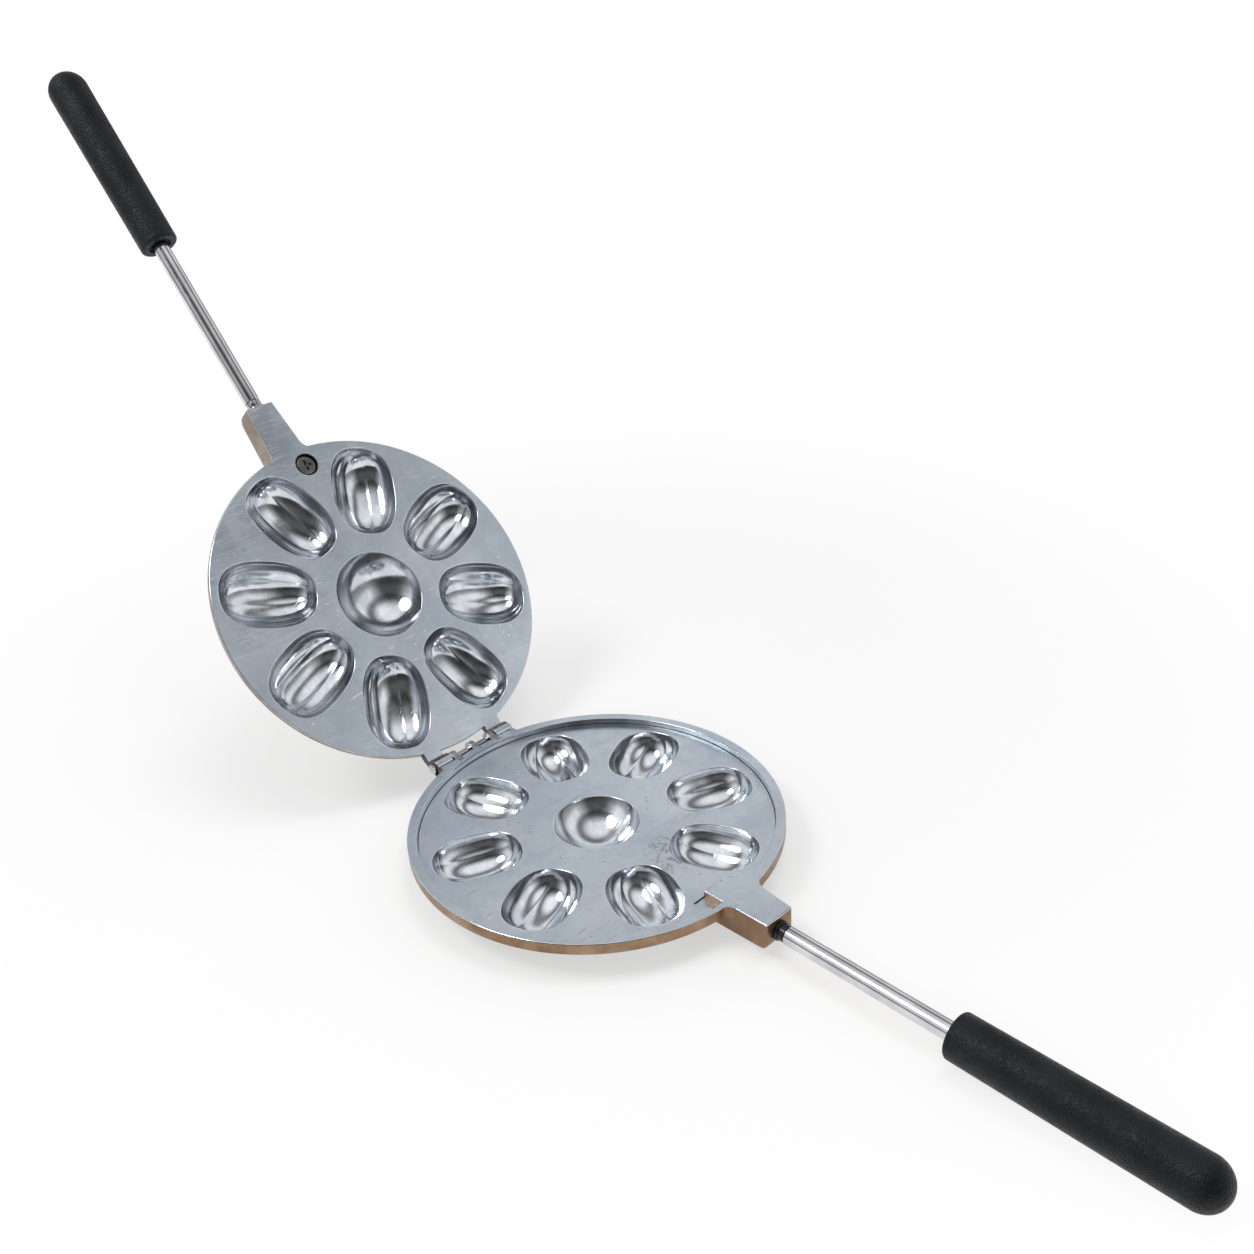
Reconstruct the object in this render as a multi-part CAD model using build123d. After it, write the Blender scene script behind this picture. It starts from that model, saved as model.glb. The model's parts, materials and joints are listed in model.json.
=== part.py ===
"""Walnut cookie mold: two hinged aluminium halves with rod handles.

Millimetres, +Z up. The lower half lies level on its bowls and hinge foot. The
origin is on the table under the middle of the lower half. +X runs from the
hinge to the lower handle and Y is along the hinge pin. The upper half is
modelled closed, face down on the lower half, and then swung open.
"""

from build123d import *
import math
import os

# ---- Bowls: how they are laid out, the same in both halves ----
ring_inset = 28.5
ring_count = 8
ridge_shift = 5.5
lobe_end_inset = 2.0
centre_ridge_slots = (1, 5)
paired_lobe_turns = (-60, 0, 60)
centred_lobe_turns = (-66, -22, 22, 66)

# ---- Lower half ----
lower_radius = 84.0
lower_edge = 2.5
rim_height = 3.1
rim_width = 4.5
lower_bowl_length = 39.0
lower_bowl_width = 31.0
lower_bowl_depth = 13.0
lower_bowl_bulge = 1.0
lower_middle_diameter = 38.5
lower_wall = 3.5
lower_base = 2.5

# ---- Upper half ----
upper_inset = 1.0
upper_thickness = 3.4
upper_bowl_length = 46.8
upper_bowl_width = 34.0
upper_bowl_depth = 15.0
upper_bowl_bulge = 2.0
upper_middle_diameter = 44.2
upper_wall = 2.5
upper_base = 2.5
seat_gap = 0.1

# ---- Hinge ----
opening_angle = 131.2
pin_diameter = 3.0
pin_drop = 2.7
pin_outset = 4.2
pin_head_diameter = 4.8
pin_head_length = 1.4
middle_knuckle_width = 3.2
side_knuckle_width = 3.6
side_knuckle_inner = 9.6
knuckle_radius = 3.4
lug_width = 9.4
lug_radius = 3.9
heel_length = 5.2
heel_reach = 4.5
heel_tip = 3.0
lug_root = 7.0
foot_depth = 6.5
foot_round = 1.5
press_gap = 0.02
running_gap = 0.08
side_gap = 0.3
stop_gap = 0.1

# ---- Handle bosses, in plan and across the plate ----
boss_height = 13.4
boss_root = 19.0
lower_boss_inset = 13.8
lower_boss_reach = 19.8
lower_boss_step_width = 20.0
lower_boss_outer_width = 15.3
lower_boss_step_side = 4.0
lower_boss_outer_side = 2.5
upper_boss_neck_reach = 1.0
upper_boss_reach = 27.5
upper_boss_neck_width = 18.4
upper_boss_outer_width = 14.2
upper_boss_neck_side = -4.7
upper_boss_outer_side = -5.9
upper_boss_setback = 0.7
boss_end_round = 4.0
boss_side_round = 1.0
root_fillet = 4.0
notch_width = 6.0
notch_depth = 0.6
notch_wall = 3.0

# ---- Rods, collars, screws and grips ----
rod_diameter = 8.0
spigot_diameter = 6.0
rod_tip_inset = 15.5
spigot_clearance = 0.1
collar_length = 4.6
collar_diameter = 7.4
collar_bead_diameter = 8.8
collar_bead_length = 1.6
collar_seat = 0.2
lower_rod_side = 2.2
lower_rod_drop = 6.6
lower_rod_slope = -0.62
lower_rod_visible = 78.6
upper_rod_side = -4.7
upper_rod_drop = 7.4
upper_rod_slope = 1.6
upper_rod_visible = 93.6
screw_inset = 10.0
screw_offset = 5.2
screw_head_diameter = 9.6
screw_head_height = 2.1
screw_head_below = 1.0
screw_shank_diameter = 5.0
screw_length = 11.0
screw_recess_diameter = 11.3
screw_tip_gap = 0.4
screw_edge_round = 0.5
cross_length = 5.6
cross_width = 1.1
cross_depth = 1.3
grip_length = 104.0
grip_start_diameter = 19.2
grip_end_diameter = 20.0
grip_start_round = 1.4
grip_insertion = 45.0
grip_recess_diameter = 11.5
grip_recess_depth = 1.6
slide_gap = 0.05

plan_tolerance = 0.05

# ---- Heights and places that follow from the sizes above ----
upper_radius = lower_radius - upper_inset
ring_radius = lower_radius - ring_inset
boss_inner = lower_radius - boss_root
lower_boss_step = lower_radius - lower_boss_inset
lower_boss_outer = lower_radius + lower_boss_reach
upper_boss_neck = upper_radius + upper_boss_neck_reach
upper_boss_outer = upper_radius + upper_boss_reach
rod_tip_x = lower_radius - rod_tip_inset
floor_z = lower_bowl_depth + lower_base
rim_z = floor_z + rim_height
face_z = rim_z + seat_gap
pin_x = -(lower_radius + pin_outset)
pin_z = rim_z - pin_drop
stop_x = pin_x + heel_reach + stop_gap
lug_inner = side_knuckle_inner + side_knuckle_width + side_gap
hinge_half_width = lug_inner + lug_width
slot_angles = [(index + 0.5) * 360 / ring_count for index in range(ring_count)]


def egg(width, depth, inner_length, outer_length):
    """Solid of revolution about a long axis laid above the face, so the bowl has draft.

    The axis lies along X at the height that gives this width at the face and this depth.
    """
    radius = ball_radius(width, depth)
    stretch = 1 / math.sqrt(1 - (1 - depth / radius) ** 2)
    form = spindle(radius, inner_length * stretch, outer_length * stretch)
    return Pos(0, 0, radius - depth) * form


def ball_radius(width, depth):
    """Radius of the circle that has this chord and this sagitta."""
    return (width * width / 4 + depth * depth) / (2 * depth)


def spindle(radius, inner_length, outer_length):
    """Two half ellipsoids of revolution about X, end to end, with one largest radius."""
    outer_arc = EllipticalCenterArc((0, 0), outer_length, radius, 0, arc_size=90)
    inner_arc = EllipticalCenterArc((0, 0), inner_length, radius, 90, arc_size=90)
    base_line = Line(inner_arc @ 1, outer_arc @ 0)
    return revolve(make_face([outer_arc, inner_arc, base_line]), Axis.X, 360)


def nut_cutter(length, width, depth, bulge, lobe_turns):
    """A walnut half: a slim core with lobes round it, which meet in ridges along the bowl."""
    inner_length = length / 2 + bulge
    outer_length = length / 2 - bulge
    radius = ball_radius(width, depth)
    slimming = ridge_shift / 2
    form = egg(width - slimming, depth - slimming, inner_length, outer_length)
    for turn in lobe_turns:
        side = ridge_shift * math.sin(math.radians(turn))
        drop = ridge_shift * math.cos(math.radians(turn))
        lobe = spindle(
            radius - ridge_shift, inner_length - lobe_end_inset, outer_length - lobe_end_inset
        )
        form += Pos(0, side, radius - depth - drop) * lobe
    return form


def ball_cutter(diameter, depth):
    """The middle bowl: a ball cap of this mouth diameter and depth."""
    radius = ball_radius(diameter, depth)
    return Pos(0, 0, radius - depth) * Sphere(radius)


def in_slots(bowls, bulge):
    """Bowls set out round the plate, each with its long axis pointing outward."""
    return [
        Rot(0, 0, angle) * Pos(ring_radius + bulge, 0, 0) * bowl
        for angle, bowl in zip(slot_angles, bowls)
    ]


def bowl_cutters(length, width, depth, bulge, middle_diameter):
    """Every hollow of one half, sunk below a face at height 0."""
    paired = nut_cutter(length, width, depth, bulge, paired_lobe_turns)
    centred = nut_cutter(length, width, depth, bulge, centred_lobe_turns)
    bowls = [centred if slot in centre_ridge_slots else paired for slot in range(ring_count)]
    return in_slots(bowls, bulge) + [ball_cutter(middle_diameter, depth)]


def bowl_shells(length, width, depth, bulge, middle_diameter, wall, base):
    """The smooth backs of the bowls, below a face at height 0, with flats at their bottoms."""
    inner_length = length / 2 + bulge + wall
    outer_length = length / 2 - bulge + wall
    back = egg(width + 2 * wall, depth + wall, inner_length, outer_length)
    backs = in_slots([back] * ring_count, bulge)
    backs.append(ball_cutter(middle_diameter + 2 * wall, depth + wall))
    size = 2 * (ring_radius + length)
    slab_height = depth + base
    slab = Pos(0, 0, -slab_height / 2) * Box(size, size, slab_height)
    return [shell & slab for shell in backs]


def disc(radius, low, high):
    """Upright cylinder about the plate's middle between two heights."""
    return Pos(0, 0, low) * Cylinder(radius, high - low, align=(Align.CENTER, Align.CENTER, Align.MIN))


def boss_edges(stations, x):
    """Y of a tapering boss's two sides at x, from its (x, middle, width) at two stations."""
    (x_a, middle_a, width_a), (x_b, middle_b, width_b) = stations
    share = (x - x_a) / (x_b - x_a)
    middle = middle_a + share * (middle_b - middle_a)
    width = width_a + share * (width_b - width_a)
    return middle - width / 2, middle + width / 2


def boss_plan(stations, inner, outer):
    """The boss seen from above, between two x stations."""
    inner_low, inner_high = boss_edges(stations, inner)
    outer_low, outer_high = boss_edges(stations, outer)
    return Polygon(
        (inner, inner_low), (outer, outer_low), (outer, outer_high), (inner, inner_high), align=None
    )


def boss_block(stations, inner, outer, low, high, rounded_z):
    """The boss between two heights; its outer end edge at rounded_z is well rounded."""
    block = Pos(0, 0, low) * extrude(boss_plan(stations, inner, outer), high - low)
    end_edges = block.edges().filter_by(Axis.Y).filter_by_position(Axis.Z, rounded_z, rounded_z)
    block = fillet(end_edges.sort_by(Axis.X)[-1], boss_end_round)
    level = block.edges().filter_by_position(Axis.Z, rounded_z, rounded_z)
    return fillet(level.filter_by(Axis.Y, reverse=True), boss_side_round)


def plate_plan(radius, stations, outer):
    """Round plate and boss from above, with rounded inside corners where they meet."""
    plan = Circle(radius) + boss_plan(stations, ring_radius, outer)
    roots = [
        corner for corner in plan.vertices()
        if abs(math.hypot(corner.X, corner.Y) - radius) < plan_tolerance
        and corner.X > ring_radius
    ]
    return fillet(roots, root_fillet)


def across_pin(section_xz, low_y, high_y):
    """Prism along Y between two stations, from a section drawn as (x, z) on Plane.XZ."""
    return Pos(0, high_y, 0) * extrude(Plane.XZ * section_xz, high_y - low_y)


def eye_section(radius, corners):
    """A round eye about the pin joined to an arm with these corners."""
    return Pos(pin_x, pin_z) * Circle(radius) + Polygon(*corners, align=None)


def pin_bore(radius):
    """A bore along the whole hinge, of this radius."""
    return Pos(pin_x, 0, pin_z) * Rot(90, 0, 0) * Cylinder(radius, 4 * hinge_half_width)


def knuckles():
    """Three narrow rings on the lower half that carry the pin."""
    root_x = stop_x + rim_width
    low_z = pin_z - knuckle_radius
    corners = [(pin_x, low_z), (root_x, low_z), (root_x, rim_z), (pin_x, rim_z)]
    section = eye_section(knuckle_radius, corners)
    side_outer = side_knuckle_inner + side_knuckle_width
    middle = across_pin(section, -middle_knuckle_width / 2, middle_knuckle_width / 2)
    left = across_pin(section, -side_outer, -side_knuckle_inner)
    right = across_pin(section, side_knuckle_inner, side_outer)
    return middle + left + right


def heel_section():
    """The stop behind each lug, in the open pose, flat towards the hinge block."""
    back = lug_radius * math.sqrt(0.5)
    heel_x = pin_x + heel_reach
    heel_z = pin_z - heel_length
    return Polygon(
        (pin_x - back, pin_z - back), (heel_x - heel_tip, heel_z), (heel_x, heel_z),
        (heel_x, pin_z), (pin_x, pin_z), align=None,
    )


def lugs():
    """The upper half's two lugs, closed: eye, arm to the plate's edge, and stop heel."""
    top_z = face_z + upper_thickness
    root_x = lug_root - upper_radius
    front_x = pin_x + lug_radius
    corners = [
        (front_x, pin_z), (front_x, face_z), (root_x, face_z),
        (root_x, top_z), (-upper_radius, top_z), (pin_x, pin_z + lug_radius),
    ]
    section = eye_section(lug_radius, corners)
    pair = None
    for low_y in (-hinge_half_width, lug_inner):
        arm = across_pin(section, low_y, low_y + lug_width)
        heel = across_pin(heel_section(), low_y, low_y + lug_width)
        lug = arm + swing(heel, -1)
        pair = lug if pair is None else pair + lug
    return pair


def swing(shape, way=1):
    """Turn a piece about the pin: from closed to open, or back with way -1."""
    return shape.rotate(Axis((pin_x, 0, pin_z), (0, 1, 0)), -way * opening_angle)


def hinge_block():
    """The lower half's hinge base: stop faces for the heels above and a foot below."""
    block = Pos(stop_x, 0, 0) * Box(
        foot_depth, 2 * hinge_half_width, rim_z, align=(Align.MIN, Align.CENTER, Align.MIN)
    )
    inner_corners = block.edges().filter_by(Axis.Z).sort_by(Axis.X)[-2:]
    return fillet(inner_corners, foot_round)


def rod_frame(outer, side, height, slope):
    """Placement of a rod: X along its axis from where it leaves the boss."""
    return Pos(outer, side, height) * Rot(0, -slope, 0)


def spigot_length(outer):
    """How far a rod's thin end reaches into its boss."""
    return outer - rod_tip_x


def cylinder_x(diameter, start, end):
    """Cylinder along X between two stations."""
    return Pos(start, 0, 0) * Rot(0, 90, 0) * Cylinder(
        diameter / 2, end - start, align=(Align.CENTER, Align.CENTER, Align.MIN)
    )


def spigot_bore(outer):
    """Hole in the boss for a rod's thin end, in the rod's frame."""
    depth = spigot_length(outer) + spigot_clearance
    return cylinder_x(spigot_diameter + 2 * slide_gap, -depth, boss_end_round)


def rod(outer, visible):
    """Steel rod: thin end for boss and collar, then full size to its end in the grip."""
    shoulder = collar_seat + collar_length + slide_gap
    thin = cylinder_x(spigot_diameter, -spigot_length(outer), shoulder)
    thick = cylinder_x(rod_diameter, shoulder, shoulder + visible + grip_insertion)
    return thin + thick


def collar():
    """Dark sleeve on the thin end between boss and shoulder, with a bead at the boss."""
    sleeve = cylinder_x(collar_diameter, collar_seat, collar_seat + collar_length)
    bead = cylinder_x(collar_bead_diameter, collar_seat, collar_seat + collar_bead_length)
    bead = fillet(bead.edges(), collar_bead_length / 4)
    bore = cylinder_x(spigot_diameter + 2 * slide_gap, 0, collar_seat + 2 * collar_length)
    return sleeve + bead - bore


def grip(visible):
    """Handle grip: slightly tapered, round tip, blind bore and a recess round the rod."""
    start_r = grip_start_diameter / 2
    end_r = grip_end_diameter / 2
    recess_r = grip_recess_diameter / 2
    bore_r = rod_diameter / 2 + slide_gap
    bore_end = grip_insertion + slide_gap
    outline = [
        Line((bore_end, 0), (bore_end, bore_r)),
        Line((bore_end, bore_r), (grip_recess_depth, bore_r)),
        Line((grip_recess_depth, bore_r), (grip_recess_depth, recess_r)),
        Line((grip_recess_depth, recess_r), (0, recess_r)),
        Line((0, recess_r), (0, start_r - grip_start_round)),
        CenterArc((grip_start_round, start_r - grip_start_round), grip_start_round, 180, -90),
        Line((grip_start_round, start_r), (grip_length - end_r, end_r)),
        CenterArc((grip_length - end_r, 0), end_r, 90, -90),
        Line((grip_length, 0), (bore_end, 0)),
    ]
    start = collar_seat + collar_length + slide_gap + visible
    return Pos(start, 0, 0) * revolve(make_face(outline), Axis.X, 360)


def screw():
    """Cross-recessed screw pointing up, with the top of its head at height 0."""
    head = Cylinder(screw_head_diameter / 2, screw_head_height, align=(Align.CENTER, Align.CENTER, Align.MIN))
    head = fillet(head.edges().sort_by(Axis.Z)[0], screw_edge_round)
    shank = Cylinder(screw_shank_diameter / 2, screw_length, align=(Align.CENTER, Align.CENTER, Align.MIN))
    slot = Box(cross_length, cross_width, 2 * cross_depth)
    return head + shank - slot - Rot(0, 0, 90) * slot


def screw_hole():
    """Recess and hole for the screw, from a mouth at height 0 upward."""
    seat = screw_head_below + screw_head_height
    recess = Cylinder(screw_recess_diameter / 2, 2 * seat)
    depth = screw_head_below + screw_length + screw_tip_gap
    return recess + Cylinder(screw_shank_diameter / 2 + slide_gap, 2 * depth)


def notched(rod_piece, screw_piece_axis):
    """Rod with a shallow notch in its side where the screw's shank locks it."""
    notch = Cylinder(screw_shank_diameter / 2 + slide_gap, 6 * rod_diameter)
    return rod_piece - screw_piece_axis * notch


def lower_plate():
    """Lower half: rimmed plate, bowls, boss, hinge block and knuckles, all one casting."""
    under_z = floor_z - lower_edge
    plan = plate_plan(lower_radius, lower_boss, lower_boss_outer)
    block_z = rim_z - boss_height
    plate = Pos(0, 0, under_z) * extrude(plan, rim_z - under_z) + hinge_block() + knuckles()
    step = extrude(boss_plan(lower_boss, lower_boss_step, lower_boss_outer), rim_z)
    plate -= disc(lower_radius - rim_width, floor_z, 2 * rim_z) - step
    notch_low, _ = boss_edges(lower_boss, lower_boss_step)
    notch_outer = lower_radius - notch_wall
    notch = Pos(lower_boss_step, notch_low, floor_z - notch_depth) * Box(
        notch_outer - lower_boss_step, notch_width, rim_height + 2 * notch_depth,
        align=(Align.MIN, Align.MAX, Align.MIN),
    )
    plate -= notch
    plate += boss_block(lower_boss, boss_inner, lower_boss_outer, block_z, floor_z, block_z)
    plate += Pos(0, 0, floor_z) * extrude(
        boss_plan(lower_boss, lower_boss_step, lower_boss_outer), rim_height
    )
    sizes = (lower_bowl_length, lower_bowl_width, lower_bowl_depth, lower_bowl_bulge)
    at_floor = Pos(0, 0, floor_z)
    shells = bowl_shells(*sizes, lower_middle_diameter, lower_wall, lower_base)
    plate += [at_floor * shell for shell in shells]
    plate -= [at_floor * bowl for bowl in bowl_cutters(*sizes, lower_middle_diameter)]
    plate -= lower_rod_place * spigot_bore(lower_boss_outer)
    plate -= lower_screw_mouth * screw_hole()
    return plate - pin_bore(pin_diameter / 2 + press_gap)


def upper_plate():
    """Upper half, closed and face down: plate, bowls, boss and lugs, all one casting."""
    top_z = face_z + upper_thickness
    boss_z = face_z + upper_boss_setback
    plate = disc(upper_radius, face_z, top_z)
    plan = plate_plan(upper_radius, upper_boss, upper_boss_outer)
    plate += Pos(0, 0, boss_z) * extrude(plan, top_z - boss_z)
    block_top = face_z + boss_height
    plate += boss_block(upper_boss, boss_inner, upper_boss_outer, boss_z, block_top, block_top)
    plate += lugs()
    sizes = (upper_bowl_length, upper_bowl_width, upper_bowl_depth, upper_bowl_bulge)
    upside_down = Pos(0, 0, face_z) * Rot(180, 0, 0)
    shells = bowl_shells(*sizes, upper_middle_diameter, upper_wall, upper_base)
    plate += [upside_down * shell for shell in shells]
    plate -= [upside_down * bowl for bowl in bowl_cutters(*sizes, upper_middle_diameter)]
    plate -= upper_rod_place * spigot_bore(upper_boss_outer)
    plate -= upper_screw_mouth * screw_hole()
    return plate - pin_bore(pin_diameter / 2 + running_gap)


def hinge_pin():
    """Pin through all the eyes, with a formed head at each end."""
    head_start = hinge_half_width + side_gap
    shank = Cylinder(pin_diameter / 2, 2 * head_start)
    pin = shank
    for side in (-1, 1):
        head = Cylinder(pin_head_diameter / 2, pin_head_length)
        pin += Pos(0, 0, side * (head_start + pin_head_length / 2)) * head
    return Pos(pin_x, 0, pin_z) * Rot(90, 0, 0) * pin


# ---- Boss stations and placements shared by plates, rods and screws ----
lower_boss = (
    (lower_boss_step, lower_boss_step_side, lower_boss_step_width),
    (lower_boss_outer, lower_boss_outer_side, lower_boss_outer_width),
)
upper_boss = (
    (upper_boss_neck, upper_boss_neck_side, upper_boss_neck_width),
    (upper_boss_outer, upper_boss_outer_side, upper_boss_outer_width),
)
lower_rod_place = rod_frame(lower_boss_outer, lower_rod_side, rim_z - lower_rod_drop, lower_rod_slope)
upper_rod_place = rod_frame(upper_boss_outer, upper_rod_side, face_z + upper_rod_drop, upper_rod_slope)
screw_x = lower_radius - screw_inset
lower_screw_mouth = Pos(screw_x, lower_rod_side + screw_offset, rim_z - boss_height)
upper_screw_mouth = Pos(screw_x, upper_rod_side + screw_offset, face_z)
screw_sink = Pos(0, 0, screw_head_below)


def lower_pieces():
    """Everything that stays with the lower half, pin included."""
    rod_piece = lower_rod_place * rod(lower_boss_outer, lower_rod_visible)
    return {
        "lower_plate": lower_plate(),
        "lower_rod": notched(rod_piece, lower_screw_mouth),
        "lower_rod_collar": lower_rod_place * collar(),
        "lower_rod_screw": lower_screw_mouth * screw_sink * screw(),
        "lower_grip": lower_rod_place * grip(lower_rod_visible),
        "hinge_pin": hinge_pin(),
    }


def upper_pieces():
    """Everything that swings with the upper half, in the closed pose."""
    rod_piece = upper_rod_place * rod(upper_boss_outer, upper_rod_visible)
    return {
        "upper_plate": upper_plate(),
        "upper_rod": notched(rod_piece, upper_screw_mouth),
        "upper_rod_collar": upper_rod_place * collar(),
        "upper_rod_screw": upper_screw_mouth * screw_sink * screw(),
        "upper_grip": upper_rod_place * grip(upper_rod_visible),
    }


os.makedirs("parts", exist_ok=True)
pieces = lower_pieces()
pieces.update({name: swing(piece) for name, piece in upper_pieces().items()})
for name, piece in pieces.items():
    export_step(piece, f"parts/{name}.step")
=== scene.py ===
"""Walnut cookie mold: its dressed pieces, their finishes, the light and the camera.

Everything is in metres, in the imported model's own frame. A half is modelled
face up about its own middle. The lower half is then lifted to its place. The
upper half is turned face down, to where it lies while the mold is closed, and
its meshes are swung open about the hinge pin.
"""

import json
import logging
import math
from dataclasses import dataclass, field
from enum import Enum, IntEnum
from typing import Callable

import bpy
import numpy as np
from mathutils import Matrix, Vector


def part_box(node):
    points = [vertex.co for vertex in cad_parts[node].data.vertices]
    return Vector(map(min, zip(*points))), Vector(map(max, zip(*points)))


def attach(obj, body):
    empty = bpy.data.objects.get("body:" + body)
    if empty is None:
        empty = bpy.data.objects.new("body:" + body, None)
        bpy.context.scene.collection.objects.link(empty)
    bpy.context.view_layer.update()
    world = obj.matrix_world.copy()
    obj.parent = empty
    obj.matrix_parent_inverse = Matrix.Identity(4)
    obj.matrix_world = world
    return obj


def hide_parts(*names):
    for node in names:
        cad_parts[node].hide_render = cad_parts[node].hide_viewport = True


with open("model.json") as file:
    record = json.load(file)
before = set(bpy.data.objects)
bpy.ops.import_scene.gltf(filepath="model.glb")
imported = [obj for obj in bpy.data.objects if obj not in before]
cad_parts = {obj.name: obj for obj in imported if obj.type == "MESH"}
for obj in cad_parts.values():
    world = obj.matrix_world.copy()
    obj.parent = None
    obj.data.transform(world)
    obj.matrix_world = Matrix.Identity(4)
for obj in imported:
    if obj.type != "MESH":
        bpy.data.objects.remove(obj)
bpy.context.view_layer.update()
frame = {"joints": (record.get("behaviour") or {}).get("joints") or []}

log = logging.getLogger("cookie_mold")
MM = 0.001
# Places nearer than these count as the same, in metres: exact ones, and ones that a bevel has moved.
TINY, SMALL = 1e-6, 1e-5
# Share of Z in a face's normal: flat faces have at least the first, sides at most the second.
FLAT, STEEP = 0.97, 0.2
Colour = tuple[float, float, float]
LOWER_STAINS = (
    ((-0.0164, 0.0439, 0.0155), 0.013),
    ((0.0238, 0.0421, 0.0155), 0.014),
    ((0.0413, 0.0074, 0.0155), 0.017),
)
UPPER_PITS = (
    ((-0.1939, 0.0514, 0.1324), 0.012),
    ((-0.1862, 0.0570, 0.1236), 0.012),
    ((-0.1460, -0.0755, 0.0777), 0.016),
)
UNDERSIDE = "underside"
Test = Callable[[Vector, Vector], bool]


class Skin(IntEnum):
    """A plate's finishes, by their place in its list of materials."""

    FACE = 0
    # The edge skin's brown is a painted reflection of a wooden table.
    EDGE = 1
    BACK = 2
    POLISH = 3
    # Painted shade, near black, at the rim's foot and on the notch's low walls.
    SHADE = 4


class Ridges(Enum):
    """The two ridged bowl forms, by the angles of their long lobes round the bowl's axis."""

    PAIRED = (-60.0, 0.0, 60.0)
    CENTRED = (-66.0, -22.0, 22.0, 66.0)


# ---------------------------------------------------------------- materials


class Nodes:
    """One material's node tree, with short calls for the nodes that the finishes share."""

    def __init__(self, name: str) -> None:
        """Start a tree with one Principled shader.

        Args:
            name: The material's name.
        """
        self.material = bpy.data.materials.new(name)
        self.material.use_nodes = True
        self.tree = self.material.node_tree
        self.tree.nodes.clear()
        self.shader = self.tree.nodes.new("ShaderNodeBsdfPrincipled")
        output = self.tree.nodes.new("ShaderNodeOutputMaterial")
        self.link(self.shader.outputs["BSDF"], output.inputs["Surface"])
        self.place = self.tree.nodes.new("ShaderNodeTexCoord").outputs["Object"]

    def link(self, start: bpy.types.NodeSocket, end: bpy.types.NodeSocket) -> None:
        """Join two sockets."""
        self.tree.links.new(start, end)

    def constant(self, name: str, value: float | tuple) -> None:
        """Set one of the shader's own sockets."""
        self.shader.inputs[name].default_value = value

    def stretched(self, scale: tuple, turn: float = 0.0) -> bpy.types.NodeSocket:
        """Object coordinates turned about Z and stretched.

        Args:
            scale: Factor along each axis, in features per metre.
            turn: Turn about Z in degrees.

        Returns:
            The mapped vector.
        """
        mapping = self.tree.nodes.new("ShaderNodeMapping")
        mapping.inputs["Rotation"].default_value = (0, 0, math.radians(turn))
        mapping.inputs["Scale"].default_value = scale
        self.link(self.place, mapping.inputs["Vector"])
        return mapping.outputs["Vector"]

    def noise(
        self,
        scale: float,
        detail: float = 4.0,
        rough: float = 0.55,
        vector: bpy.types.NodeSocket | None = None,
        bend: float = 0.0,
    ) -> bpy.types.NodeSocket:
        """Noise on Object coordinates.

        Args:
            scale: Features per metre.
            detail: Octaves.
            rough: Share that each octave keeps.
            vector: Coordinates to use in place of the plain ones.
            bend: Distortion.

        Returns:
            The noise value.
        """
        node = self.tree.nodes.new("ShaderNodeTexNoise")
        node.inputs["Scale"].default_value = scale
        node.inputs["Detail"].default_value = detail
        node.inputs["Roughness"].default_value = rough
        node.inputs["Distortion"].default_value = bend
        self.link(vector or self.place, node.inputs["Vector"])
        return node.outputs["Fac"]

    def cells(self, scale: float) -> bpy.types.NodeSocket:
        """Distance to the nearest of scattered points, in cells."""
        node = self.tree.nodes.new("ShaderNodeTexVoronoi")
        node.inputs["Scale"].default_value = scale
        self.link(self.place, node.inputs["Vector"])
        return node.outputs["Distance"]

    def span(
        self,
        value: bpy.types.NodeSocket,
        low: float,
        high: float,
        to_low: float = 0.0,
        to_high: float = 1.0,
    ) -> bpy.types.NodeSocket:
        """Map a range of a value smoothly to another range, and hold it outside."""
        node = self.tree.nodes.new("ShaderNodeMapRange")
        node.interpolation_type = "SMOOTHSTEP"
        limits = {"From Min": low, "From Max": high, "To Min": to_low, "To Max": to_high}
        for name, number in limits.items():
            node.inputs[name].default_value = number
        self.link(value, node.inputs["Value"])
        return node.outputs["Result"]

    def maths(
        self, operation: str, a: bpy.types.NodeSocket, b: bpy.types.NodeSocket | float = 0.0
    ) -> bpy.types.NodeSocket:
        """One arithmetic step on a value and another value or a number."""
        node = self.tree.nodes.new("ShaderNodeMath")
        node.operation = operation
        self.link(a, node.inputs[0])
        if isinstance(b, float):
            node.inputs[1].default_value = b
        else:
            self.link(b, node.inputs[1])
        return node.outputs["Value"]

    def near(self, point: tuple, reach: float) -> bpy.types.NodeSocket:
        """1 at a point of the object, fading to 0 at this distance."""
        node = self.tree.nodes.new("ShaderNodeVectorMath")
        node.operation = "DISTANCE"
        self.link(self.place, node.inputs[0])
        node.inputs[1].default_value = point
        return self.span(node.outputs["Value"], reach * 0.35, reach, 1.0, 0.0)

    def blend(self, share: bpy.types.NodeSocket, low: object, high: object) -> bpy.types.NodeSocket:
        """Blend two colours, each three numbers or a socket, by a share."""
        node = self.tree.nodes.new("ShaderNodeMix")
        node.data_type = "RGBA"
        self.link(share, node.inputs["Factor"])
        for name, colour in (("A", low), ("B", high)):
            socket = [s for s in node.inputs if s.name == name and s.type == "RGBA"][0]
            if isinstance(colour, tuple):
                socket.default_value = (*colour, 1.0)
            else:
                self.link(colour, socket)
        return [s for s in node.outputs if s.type == "RGBA"][0]

    def bump(self, height: bpy.types.NodeSocket, depth: float, strength: float = 1.0) -> None:
        """Add a bump layer over those already there.

        Args:
            height: Height from 0 to 1.
            depth: What 1 stands for, in metres.
            strength: How much of it is used.
        """
        node = self.tree.nodes.new("ShaderNodeBump")
        node.inputs["Strength"].default_value = strength
        node.inputs["Distance"].default_value = depth
        self.link(height, node.inputs["Height"])
        normal = self.shader.inputs["Normal"]
        if normal.is_linked:
            self.link(normal.links[0].from_socket, node.inputs["Normal"])
        self.link(node.outputs["Normal"], normal)

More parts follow.
